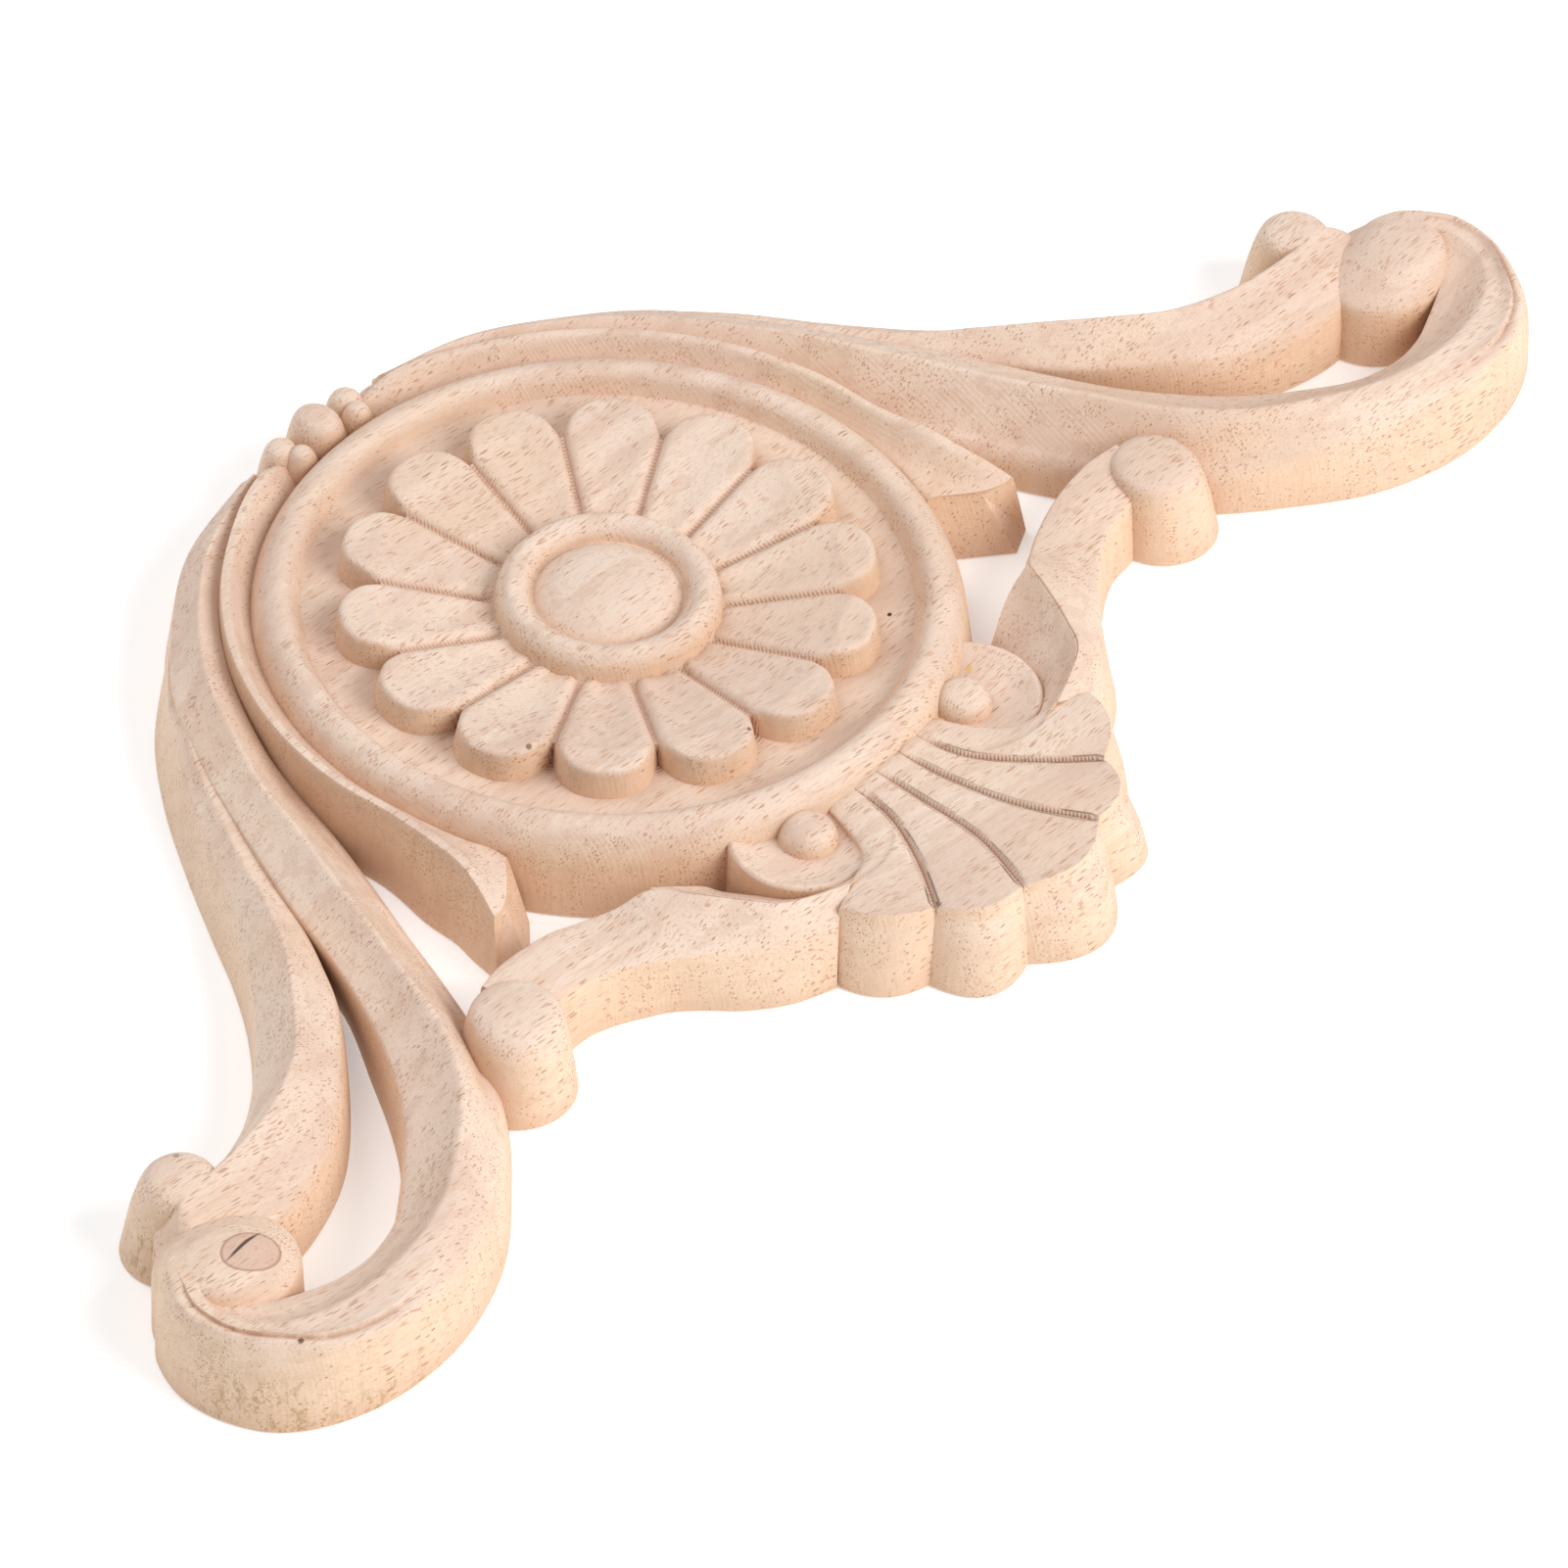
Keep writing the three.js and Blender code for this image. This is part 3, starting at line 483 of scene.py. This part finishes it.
def scroll(rows, far_dish, per_row, name, shares=None, insets=None):
    """A scroll from its rows; shares and insets place the ledge on its near face."""
    sections = []
    count = len(rows)
    for row, share, inset in zip(rows, shares or [0.0] * count, insets or [0.4] * count):
        crest, far_edge, far_base, near_edge, near_base, crown = row
        base = on_floor(near_base)
        edge, ledge = ledge_points(row, share, inset)
        sections.append([
            on_floor(far_base), far_edge, between(crest, far_edge, 0.5, -far_dish - 0.6 * share), crest,
            between(crest, near_edge, 0.45, crown + 0.3 * share), edge, ledge, near_edge,
            between(near_edge, base, 0.35, 0.25 * near_edge[2]),
            between(near_edge, base, 0.78, 0.4 * near_edge[2]), base,
        ])
    return strip(sections, SCROLL_ROUNDING, per_row, name, 5)


def lower_strip():
    sections = []
    for ring_base, ring_edge, low_edge, low_base in LOWER_STRIP_ROWS:
        base = on_floor(low_base)
        sections.append([
            on_floor(ring_base), ring_edge, between(ring_edge, low_edge, 0.5, 0.5), low_edge,
            between(low_edge, base, 0.4, 0.15 * low_edge[2]), base,
        ])
    return strip(sections, [0, 0.1, 0.5, 0.22, 0.5, 0], 6, "lower_strip")


def leaf():
    sections = []
    for crest, hollow, valley, base in LEAF_ROWS:
        sections.append([
            on_floor(base), valley, hollow, crest, on_floor(crest), on_floor(between(crest, valley, 0.5)),
        ])
    return strip(sections, [0, 0.3, 0.5, 0.08, 0, 0], 8, "leaf")


def shell_lobe(left, right, feet, rim, toe, name):
    """A lobe between two lines, crowned across; its top swells forward by rim and its foot by toe."""
    across = np.sin(np.linspace(-1, 1, 25) * math.pi / 2)
    left = np.array(left, dtype=float)
    right = np.array(right, dtype=float)

    def arc(a, b, bulge, height, rise):
        width = math.hypot(b[0] - a[0], b[1] - a[1])
        out = ((b[1] - a[1]) / width, -(b[0] - a[0]) / width)
        points = []
        for u in across:
            swell = bulge * (1 - u * u)
            t = (u + 1) / 2
            z = lerp(a[2], b[2], t) if height is None else height
            lift = rise * max(0.0, math.cos(u * math.pi / 2)) ** 0.3
            flat = [lerp(a[i], b[i], t) + out[i] * swell for i in (0, 1)]
            points.append([*flat, z + lift])
        return points

    per_row = 10
    left_line = smooth_along(left, per_row)
    right_line = smooth_along(right, per_row)
    loops = []
    for k in range(3 * per_row - 1):
        a, b = left_line[k], right_line[k]
        at = k / per_row
        rise = lerp(0.0, LOBE_RISE, min(1.0, at / 0.85) ** 0.8)
        loops.append([on_floor(a), *arc(a, b, rim * at / 3, None, rise), on_floor(b)])
    a, b = left_line[-1], right_line[-1]
    for share, rise in LOBE_RIM:
        start_a, start_b = left_line[-4], right_line[-4]
        pa, pb = lerp(start_a, a, share), lerp(start_b, b, share)
        bulge = lerp(rim * (3 * per_row - 3) / (3 * per_row), rim, share)
        loops.append([on_floor(pa), *arc(pa, pb, bulge, None, rise), on_floor(pb)])
    fa, fb = (np.array(on_floor(f)) for f in feet)
    for share, height in LOBE_WALL:
        low = arc(lerp(a, fa, share), lerp(b, fb, share), lerp(rim, toe, share), height, 0)
        loops.append([fa, *low, fb])
    return loft([np.array(loop, dtype=float)[::-1] for loop in loops], name)


def knob(name, at, foot, crown, height, turn=0.0, shift=(0, 0), facets=64, skirt=False):
    """A rounded knob, its oval foot leaning in to an oval crown or, with a skirt, upright below it."""
    levels = [*(SKIRT_LOWER if skirt else KNOB_LOWER), *KNOB_CAP]
    profile = rounded(levels, [0, 0.2 if skirt else 0.4, 0.5, 0.5, 0.5, 0.5, 0], 4, closed=False)
    angles = np.arange(facets) * 2 * math.pi / facets
    loops = []
    for share, toward, cap in profile:
        cap = max(cap, LEAST_SHARE)
        px = lerp(foot[0], crown[0], toward) * cap * np.cos(angles)
        py = lerp(foot[1], crown[1], toward) * cap * np.sin(angles)
        loops.append(np.stack([
            at[0] + shift[0] * toward + px * math.cos(turn) - py * math.sin(turn),
            at[1] + shift[1] * toward + px * math.sin(turn) + py * math.cos(turn),
            np.full(facets, share * height),
        ], axis=1))
    return loft(loops, name)


def boolean(target, others, operation):
    """The target's mesh joined with or cut by the others, which are removed."""
    group = bpy.data.collections.new("operands")
    bpy.context.scene.collection.children.link(group)
    for other in others:
        group.objects.link(other)
    modifier = target.modifiers.new("join", "BOOLEAN")
    modifier.operation = operation
    modifier.solver = "MANIFOLD"
    modifier.operand_type = "COLLECTION"
    modifier.collection = group
    shown = target.evaluated_get(bpy.context.evaluated_depsgraph_get())
    mesh = bpy.data.meshes.new_from_object(shown)
    target.modifiers.clear()
    target.data = mesh
    for other in others:
        bpy.data.objects.remove(other)
    bpy.data.collections.remove(group)
    return target


def carving():
    disc_profile = rounded(RING_PROFILE + EYE_PROFILE, DISC_ROUNDING, 6, closed=False)
    solid = turned([0, 0], disc_profile, 224, "disc")
    pieces = [groove_floor()]
    one = petal("petal")
    for k in range(PETAL_COUNT):
        twin = bpy.data.objects.new(f"petal_{k}", one.data.copy())
        twin.data.transform(Matrix.Rotation(math.pi / 2 + k * 2 * math.pi / PETAL_COUNT, 4, "Z"))
        bpy.context.scene.collection.objects.link(twin)
        pieces.append(twin)
    bpy.data.objects.remove(one)
    cup_profile = rounded(CUP_PROFILE, [0, 0.15, 0.5, 0.5, 0.5, 0], 5, closed=False)
    cup = turned(CUP_CENTRE, cup_profile, 96, "cup")
    stop = turned([0, 0], [[CUP_STOP_RADIUS, -1], [CUP_STOP_RADIUS, 20], [0, 20]], 160, "stop")
    cup = boolean(cup, [stop], "DIFFERENCE")
    bead_profile = rounded(BEAD_PROFILE, [0, 0.4, 0.5, 0.5, 0], 5, closed=False)
    sides = [
        ring_strip(), scroll(MAIN_SCROLL_ROWS, 0.4, 6, "main_scroll", LEDGE_SHARES, LEDGE_INSETS),
        scroll(OUTER_SCROLL_ROWS, 0.3, 7, "outer_scroll"),
        lower_strip(), leaf(), cup, turned(BEAD_CENTRE, bead_profile, 48, "bead"),
        shell_lobe(INNER_GROOVE, OUTER_GROOVE, LOBE_FEET[:2], 2.9, 4.5, "lobe_1"),
        shell_lobe(OUTER_GROOVE, SHELL_SIDE, LOBE_FEET[1:], 2.3, 2.3, "lobe_2"),
        knob("lower_knob", **LOWER_KNOB), knob("small_knob", **SMALL_KNOB), knob("large_knob", **LARGE_KNOB),
    ]
    sides += [knob(f"bump_{k}", facets=40, **bump) for k, bump in enumerate(CROWN_BUMPS[1:])]
    for piece in sides:
        pieces += [piece, mirrored(piece)]
    flipped = [[-x, y, z] for x, y, z in INNER_GROOVE]
    foot_x, foot_y = LOBE_FEET[0]
    feet = [[-foot_x, foot_y], [foot_x, foot_y]]
    pieces.append(shell_lobe(flipped, INNER_GROOVE, feet, 3.8, 5.9, "lobe_0"))
    pieces.append(knob("bump_middle", facets=48, **CROWN_BUMPS[0]))
    return boolean(solid, pieces, "UNION")


def line_marks(points, line):
    """Distance on the plan from each point to a line of points, and how far along the line that is."""
    line = np.array(line)[:, :2]
    best = np.full(len(points), 1e9)
    run = np.zeros(len(points))
    done = 0.0
    for a, b in zip(line[:-1], line[1:]):
        span = b - a
        length = float(np.hypot(*span))
        t = np.clip(((points[:, :2] - a) @ span) / max(length * length, 1e-9), 0, 1)
        distance = np.hypot(*(points[:, :2] - a - t[:, None] * span).T)
        closer = distance < best
        best[closer] = distance[closer]
        run[closer] = done + t[closer] * length
        done += length
    return best, run


def mark_grooves(piece):
    """Point attributes for the shading, up to 1 along the shell's grooves (groove) and the ledges (crease).

    Run is how far along its groove a point lies, in millimetres.
    """
    points = np.array([v.co for v in piece.data.vertices])
    groove = np.zeros(len(points))
    run = np.zeros(len(points))
    folded = points.copy()
    folded[:, 0] = np.abs(folded[:, 0])
    upper = points[:, 2] > GROOVE_ABOVE
    for rows in (INNER_GROOVE, OUTER_GROOVE):
        line = smooth_along(rows, 10)[4:-1]
        distance, along = line_marks(folded, line)
        here = np.clip(1.35 - distance / 0.6, 0, 1) * upper
        closer = here > groove
        groove[closer] = here[closer]
        run[closer] = along[closer]
    groove *= np.clip(run / 4, 0, 1)
    ledges = [ledge_points(*values)[1] for values in zip(MAIN_SCROLL_ROWS, LEDGE_SHARES, LEDGE_INSETS)]
    distance, _ = line_marks(folded, smooth_along(ledges, 6)[LEDGE_FROM * 6:LEDGE_TO * 6])
    crease = np.clip(1.2 - distance / 0.55, 0, 1) * (points[:, 2] > LEDGE_ABOVE)
    for name, values in (("groove", groove), ("run", run), ("crease", crease)):
        attribute = piece.data.attributes.new(name, "FLOAT", "POINT")
        attribute.data.foreach_set("value", values.astype(np.float32))


def keep_largest_skin(piece):
    """Deletes closed pockets inside the solid, and scales millimetres to metres."""
    work = bmesh.new()
    work.from_mesh(piece.data)
    left = set(work.verts)
    skins = []
    while left:
        seed = left.pop()
        skin = {seed}
        queue = [seed]
        while queue:
            for edge in queue.pop().link_edges:
                for vert in edge.verts:
                    if vert in left:
                        left.remove(vert)
                        skin.add(vert)
                        queue.append(vert)
        skins.append(skin)
    skins.sort(key=len, reverse=True)
    bmesh.ops.delete(work, geom=[v for skin in skins[1:] for v in skin], context="VERTS")
    bmesh.ops.scale(work, vec=(MM, MM, MM), verts=work.verts)
    work.to_mesh(piece.data)
    open_edges = sum(1 for edge in work.edges if not edge.is_manifold)
    work.free()
    print("skins", len(skins), "open edges", open_edges, "faces", len(piece.data.polygons))


applique = carving()
applique.name = "applique_carving"
mark_grooves(applique)
keep_largest_skin(applique)
applique.data.shade_smooth()
applique.data.set_sharp_from_angle(angle=math.radians(38))
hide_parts("applique")
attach(applique, "root")


class Graph:
    """Small helper that adds shader nodes and links them; inputs are sockets or plain numbers."""

    def __init__(self, tree):
        self.tree = tree

    def node(self, kind, **settings):
        made = self.tree.nodes.new("ShaderNode" + kind)
        for key, value in settings.items():
            setattr(made, key, value)
        return made

    def put(self, value, socket):
        if isinstance(value, bpy.types.NodeSocket):
            self.tree.links.new(value, socket)
        else:
            socket.default_value = value

    def math(self, operation, a, b=0.0):
        made = self.node("Math", operation=operation)
        for value, socket in zip((a, b), made.inputs):
            self.put(value, socket)
        return made.outputs[0]

    def add(self, *values):
        total = values[0]
        for value in values[1:]:
            total = self.math("ADD", total, value)
        return total

    def times(self, *values):
        total = values[0]
        for value in values[1:]:
            total = self.math("MULTIPLY", total, value)
        return total

    def ease(self, value, low, high):
        """0 where value is at low, 1 at high, smooth between; low may be above high."""
        made = self.node("MapRange", interpolation_type="SMOOTHSTEP")
        self.put(value, made.inputs["Value"])
        flip = low > high
        made.inputs["From Min"].default_value = high if flip else low
        made.inputs["From Max"].default_value = low if flip else high
        made.inputs["To Min"].default_value = 1.0 if flip else 0.0
        made.inputs["To Max"].default_value = 0.0 if flip else 1.0
        return made.outputs["Result"]

    def mix(self, factor, a, b):
        made = self.node("Mix", data_type="RGBA")
        self.put(factor, made.inputs["Factor"])
        self.put((*a, 1) if isinstance(a, tuple) else a, made.inputs[6])
        self.put((*b, 1) if isinstance(b, tuple) else b, made.inputs[7])
        return made.outputs[2]

    def vector(self, x, y, z):
        made = self.node("CombineXYZ")
        for value, socket in zip((x, y, z), made.inputs):
            self.put(value, socket)
        return made.outputs[0]

    def noise(self, vector, scale, detail=2.0, roughness=0.5):
        made = self.node("TexNoise")
        self.put(vector, made.inputs["Vector"])
        made.inputs["Scale"].default_value = scale
        made.inputs["Detail"].default_value = detail
        made.inputs["Roughness"].default_value = roughness
        return made.outputs["Fac"]

    def cells(self, vector):
        """Distance to the nearest cell centre, and two random numbers of that cell."""
        made = self.node("TexVoronoi")
        self.put(vector, made.inputs["Vector"])
        made.inputs["Scale"].default_value = 1.0
        split = self.node("SeparateColor")
        self.tree.links.new(made.outputs["Color"], split.inputs[0])
        return made.outputs["Distance"], split.outputs[0], split.outputs[1]


def rubberwood():
    """Bare fine-sanded rubberwood: cream and pinkish bands, pore dashes, cutter ridges and its few flaws, with
    painted shade on steep faces and in recesses.
    """
    material = bpy.data.materials.new("rubberwood")
    material.use_nodes = True
    tree = material.node_tree
    shader = tree.nodes["Principled BSDF"]
    shader.inputs["Roughness"].default_value = 0.62
    shader.inputs["Specular IOR Level"].default_value = 0.28
    g = Graph(tree)

    # Place on the object in millimetres, and the same turned along the grain
    metres = g.node("TexCoord").outputs["Object"]
    split = g.node("SeparateXYZ")
    g.put(metres, split.inputs[0])
    x, y, z = (g.times(socket, 1000.0) for socket in split.outputs)
    along = g.add(g.times(x, math.cos(GRAIN_TURN)), g.times(y, math.sin(GRAIN_TURN)))
    across = g.add(g.times(y, math.cos(GRAIN_TURN)), g.times(x, -math.sin(GRAIN_TURN)))
    normal = g.node("SeparateXYZ")
    g.put(g.node("NewGeometry").outputs["Normal"], normal.inputs[0])
    facing_up = normal.outputs[2]
    slope = g.ease(facing_up, 0.97, 0.6)
    # Steep faces, which get painted shade
    wall_shade = g.ease(facing_up, 0.75, 0.08)

    def spot(centre, half_length, half_width, turn=0.0, soft=0.15):
        """1 inside an oval on the plan, 0 outside it."""
        dx = g.add(x, -centre[0])
        dy = g.add(y, -centre[1])
        p = g.add(g.times(dx, math.cos(turn) / half_length), g.times(dy, math.sin(turn) / half_length))
        q = g.add(g.times(dy, math.cos(turn) / half_width), g.times(dx, -math.sin(turn) / half_width))
        reach = g.math("SQRT", g.add(g.times(p, p), g.times(q, q)))
        return g.ease(reach, 1.0, 1.0 - soft), reach

    # Growth bands along the grain, broad ones and fine ones
    wander = g.noise(g.vector(g.times(along, 0.011), g.times(across, 0.03), 0.0), 1.0)
    lane = g.add(across, g.times(g.add(wander, -0.5), 9.0))
    broad = g.noise(g.vector(g.times(along, 0.004), g.times(lane, 0.085), g.times(z, 0.12)), 1.0, 2.0, 0.6)
    medium = g.noise(g.vector(g.times(along, 0.012), g.times(lane, 0.36), g.times(z, 0.55)), 1.0, 2.0, 0.5)
    fine = g.noise(g.vector(g.times(along, 0.05), g.times(lane, 2.6), g.times(z, 2.6)), 1.0, 2.0, 0.6)
    color = g.mix(g.ease(broad, 0.40, 0.62), CREAM, ROSE)
    color = g.mix(g.times(g.ease(medium, 0.52, 0.62), 0.36), color, DUSK)
    color = g.mix(g.times(g.ease(fine, 0.55, 0.8), 0.22), color, DUSK)
    cloud = g.noise(g.vector(g.times(x, 0.03), g.times(y, 0.03), g.times(z, 0.03)), 1.0, 2.0, 0.5)
    color = g.mix(g.times(g.ease(cloud, 0.5, 0.75), 0.35), color, HONEY)

    # Painted shade: steep faces, which get less light than the tops, are yellower, with faint browner streaks
    # down the wall
    color = g.mix(g.times(wall_shade, 0.5), color, WALL_SHADE_HONEY)
    streak = g.noise(g.vector(g.times(x, 1.1), g.times(y, 1.1), g.times(z, 0.035)), 1.0, 2.0, 0.65)
    color = g.mix(g.times(wall_shade, g.ease(streak, 0.42, 0.75), 0.26), color, WALL_SHADE_BROWN)

    # Painted shade: recesses are darker and warmer where ambient occlusion finds surfaces close by
    shade = g.node("AmbientOcclusion", samples=3)
    shade.inputs["Distance"].default_value = RECESS_SHADE_REACH * MM
    open_sky = shade.outputs["AO"]
    color = g.mix(g.times(g.ease(open_sky, 0.9, 0.2), 0.5), color, RECESS_SHADE_BROWN)

    # Grooves between the petals and between the shell's lobes, with their rope-like cutter marks
    angle = g.math("ARCTAN2", y, x)
    turn_share = g.math("FRACT", g.add(g.times(angle, PETAL_COUNT / (2 * math.pi)), PETAL_COUNT + 0.5))
    radius = g.math("SQRT", g.add(g.times(x, x), g.times(y, y)))
    off_groove = g.times(g.math("ABSOLUTE", g.add(turn_share, -0.5)), radius, 2 * math.pi / PETAL_COUNT)
    in_rosette = g.times(g.ease(radius, 16.6, 17.2), g.ease(radius, 37.0, 35.2))
    groove = g.times(g.ease(off_groove, 0.8, 0.2), in_rosette)
    rope = g.math("SINE", g.add(g.times(radius, 2 * math.pi / ROPE_SPACING), g.times(turn_share, 60.0)))
    color = g.mix(g.times(groove, g.add(0.42, g.times(rope, 0.34))), color, GROOVE_BROWN)
    shell_groove = g.node("Attribute", attribute_name="groove").outputs["Fac"]
    shell_run = g.node("Attribute", attribute_name="run").outputs["Fac"]
    shell_rope = g.math("SINE", g.add(g.times(shell_run, 2 * math.pi / ROPE_SPACING), g.times(x, 2.5)))
    color = g.mix(g.times(shell_groove, g.add(0.42, g.times(shell_rope, 0.32))), color, GROOVE_BROWN)

    # Broken line along the volutes' ledges
    crease = g.node("Attribute", attribute_name="crease").outputs["Fac"]
    ragged = g.noise(g.vector(g.times(x, 0.7), g.times(y, 0.7), g.times(z, 0.7)), 1.0, 3.0, 0.6)
    color = g.mix(g.times(crease, crease, g.ease(ragged, 0.3, 0.65), 0.6), color, GROOVE_BROWN)

    # Collar line round each cup, on the shell's side
    cup_x = g.add(g.math("ABSOLUTE", x), -CUP_CENTRE[0])
    cup_y = g.add(y, -CUP_CENTRE[1])
    cup_reach = g.math("SQRT", g.add(g.times(cup_x, cup_x), g.times(cup_y, cup_y)))
    collar = g.ease(g.math("ABSOLUTE", g.add(cup_reach, -COLLAR_RADIUS)), 0.9, 0.1)
    collar = g.times(collar, g.ease(cup_x, 4.0, 1.0), g.ease(cup_y, -1.0, -3.0), g.ease(facing_up, 0.4, 0.7))
    color = g.mix(g.times(collar, 0.14), color, GROOVE_BROWN)

    # Pores: short dashes along the grain, in loose clusters, and fainter strokes between them
    cell = g.vector(g.times(along, 0.33), g.times(g.add(lane, g.times(fine, 0.3)), 3.6), g.times(z, 1.8))
    distance, chance, tone = g.cells(cell)
    crowd = g.noise(g.vector(g.times(along, 0.05), g.times(across, 0.12), g.times(z, 0.1)), 1.0, 2.0, 0.6)
    there = g.ease(g.add(chance, g.times(g.add(crowd, -0.5), 3.0)), 0.5, 0.62)
    pore = g.times(g.ease(distance, 0.40, 0.22), there)
    pore_color = g.mix(tone, PORE_DARK, PORE_LIGHT)
    color = g.mix(g.times(pore, 0.78), color, pore_color)
    strokes = g.noise(g.vector(g.times(along, 0.35), g.times(lane, 5.0), g.times(z, 5.0)), 1.0, 2.0, 0.7)
    color = g.mix(g.times(g.ease(strokes, 0.51, 0.66), 0.6), color, STROKE_TAN)

    # Oval knot with its dark rim and crack, on the left volute
    knot, knot_reach = spot(*KNOT, 0.06)
    on_top = g.ease(facing_up, 0.3, 0.55)
    knot = g.times(knot, on_top)
    knot_rim = g.times(g.ease(knot_reach, 0.84, 0.95), knot)
    color = g.mix(g.times(knot, 0.5), color, KNOT_RED)
    color = g.mix(g.times(knot_rim, 0.55), color, KNOT_RIM)
    crack, _ = spot(*CRACK, 0.6)
    color = g.mix(g.times(crack, on_top, 0.9), color, CRACK_DARK)

    # Small pits and specks
    for centre, size, tint, strength in SPECKS:
        mark, _ = spot(centre, size, size * 0.8, 0.3, 0.5)
        color = g.mix(g.times(mark, strength, g.ease(facing_up, 0.3, 0.6)), color, tint)

    # Greenish brown mottling low on the left wing's outer walls
    mottle = g.noise(g.vector(g.times(x, 0.6), g.times(y, 0.6), g.times(z, 0.4)), 1.0, 3.0, 0.75)
    grains = g.noise(g.vector(g.times(x, 1.6), g.times(y, 1.6), g.times(z, 0.9)), 1.0, 2.0, 0.6)
    for centre, half_length, half_width, top in STAINS:
        region, _ = spot(centre, half_length, half_width, 0.0, 0.6)
        low = g.times(region, g.ease(z, top, top - 6.0), g.ease(facing_up, 0.7, 0.3))
        patch = g.times(low, g.ease(mottle, 0.46, 0.62), g.ease(grains, 0.35, 0.6), 0.7)
        color = g.mix(patch, color, STAIN_GREEN)
    g.put(color, shader.inputs["Base Color"])

    # Relief too fine for the mesh: cutter ridges, rope marks, and the floors of the fine lines
    straight = g.math("SINE", g.times(x, 2 * math.pi / RIDGE_SPACING))
    level = g.math("SINE", g.times(z, 2 * math.pi / (RIDGE_SPACING * 0.9)))
    rings = 0.0
    for (place_x, place_y), half_length, half_width in LEVEL_CUTS:
        for side in (1, -1):
            here, _ = spot((side * place_x, place_y), half_length, half_width)
            rings = g.math("MAXIMUM", rings, here)
    ridges = g.add(g.times(straight, g.math("SUBTRACT", 1.0, rings)), g.times(level, rings))
    uneven = g.noise(g.vector(g.times(x, 0.5), g.times(y, 0.12), g.times(z, 0.12)), 1.0, 2.0, 0.5)
    height = g.add(
        g.times(ridges, slope, g.ease(uneven, 0.3, 0.7), 0.013), g.times(rope, groove, 0.06),
        g.times(shell_rope, shell_groove, 0.08), g.times(shell_groove, -0.25), g.times(crease, -0.15),
        g.times(collar, -0.18),
    )
    bump = g.node("Bump")
    bump.inputs["Strength"].default_value = 1.0
    bump.inputs["Distance"].default_value = MM
    g.put(height, bump.inputs["Height"])
    g.put(bump.outputs[0], shader.inputs["Normal"])
    return material


applique.data.materials.clear()
applique.data.materials.append(rubberwood())


def floor_material():
    """White paper, a little brighter than the light on it, so that shadows stay faint."""
    material = bpy.data.materials.new("pale_floor")
    material.use_nodes = True
    shader = material.node_tree.nodes["Principled BSDF"]
    shader.inputs["Base Color"].default_value = (*FLOOR_COLOR, 1)
    shader.inputs["Roughness"].default_value = 0.9
    shader.inputs["Emission Color"].default_value = (1, 1, 1, 1)
    shader.inputs["Emission Strength"].default_value = FLOOR_GLOW
    return material


def floor():
    signs = [(-1, -1), (1, -1), (1, 1), (-1, 1)]
    corners = [(sx * FLOOR_HALF, sy * FLOOR_HALF, -FLOOR_DROP) for sx, sy in signs]
    mesh = bpy.data.meshes.new("floor")
    mesh.from_pydata(corners, [], [(0, 1, 2, 3)])
    piece = bpy.data.objects.new("floor", mesh)
    bpy.context.scene.collection.objects.link(piece)
    mesh.materials.append(floor_material())
    return piece


def area_light(name, position, size, power, color):
    data = bpy.data.lights.new(name, "AREA")
    data.shape = "DISK"
    data.size = size
    data.energy = power
    data.color = color
    light = bpy.data.objects.new(name, data)
    light.location = position
    light.rotation_euler = (-Vector(position)).to_track_quat("-Z", "Y").to_euler()
    bpy.context.scene.collection.objects.link(light)
    return light


def studio():
    area_light("key", KEY_PLACE, KEY_SIZE, KEY_POWER, (1.0, 0.985, 0.965))
    area_light("fill", FILL_PLACE, FILL_SIZE, FILL_POWER, (0.97, 0.985, 1.0))
    world = bpy.data.worlds.new("studio")
    world.use_nodes = True
    world.node_tree.nodes["Background"].inputs["Color"].default_value = (1, 1, 1, 1)
    world.node_tree.nodes["Background"].inputs["Strength"].default_value = WORLD_STRENGTH
    scene = bpy.context.scene
    scene.world = world
    scene.view_settings.view_transform = "Standard"
    scene.view_settings.look = "None"


def camera():
    data = bpy.data.cameras.new("camera")
    data.sensor_width = 36.0
    data.lens = CAMERA_LENS
    data.clip_end = 20.0
    eye = bpy.data.objects.new("camera", data)
    right, up, back = (Vector(v) for v in CAMERA_AXES)
    turn = Matrix((right, up, back)).transposed().to_4x4()
    eye.matrix_world = Matrix.Translation(Vector(CAMERA_PLACE)) @ turn
    bpy.context.scene.collection.objects.link(eye)
    bpy.context.scene.camera = eye


floor()
studio()
camera()
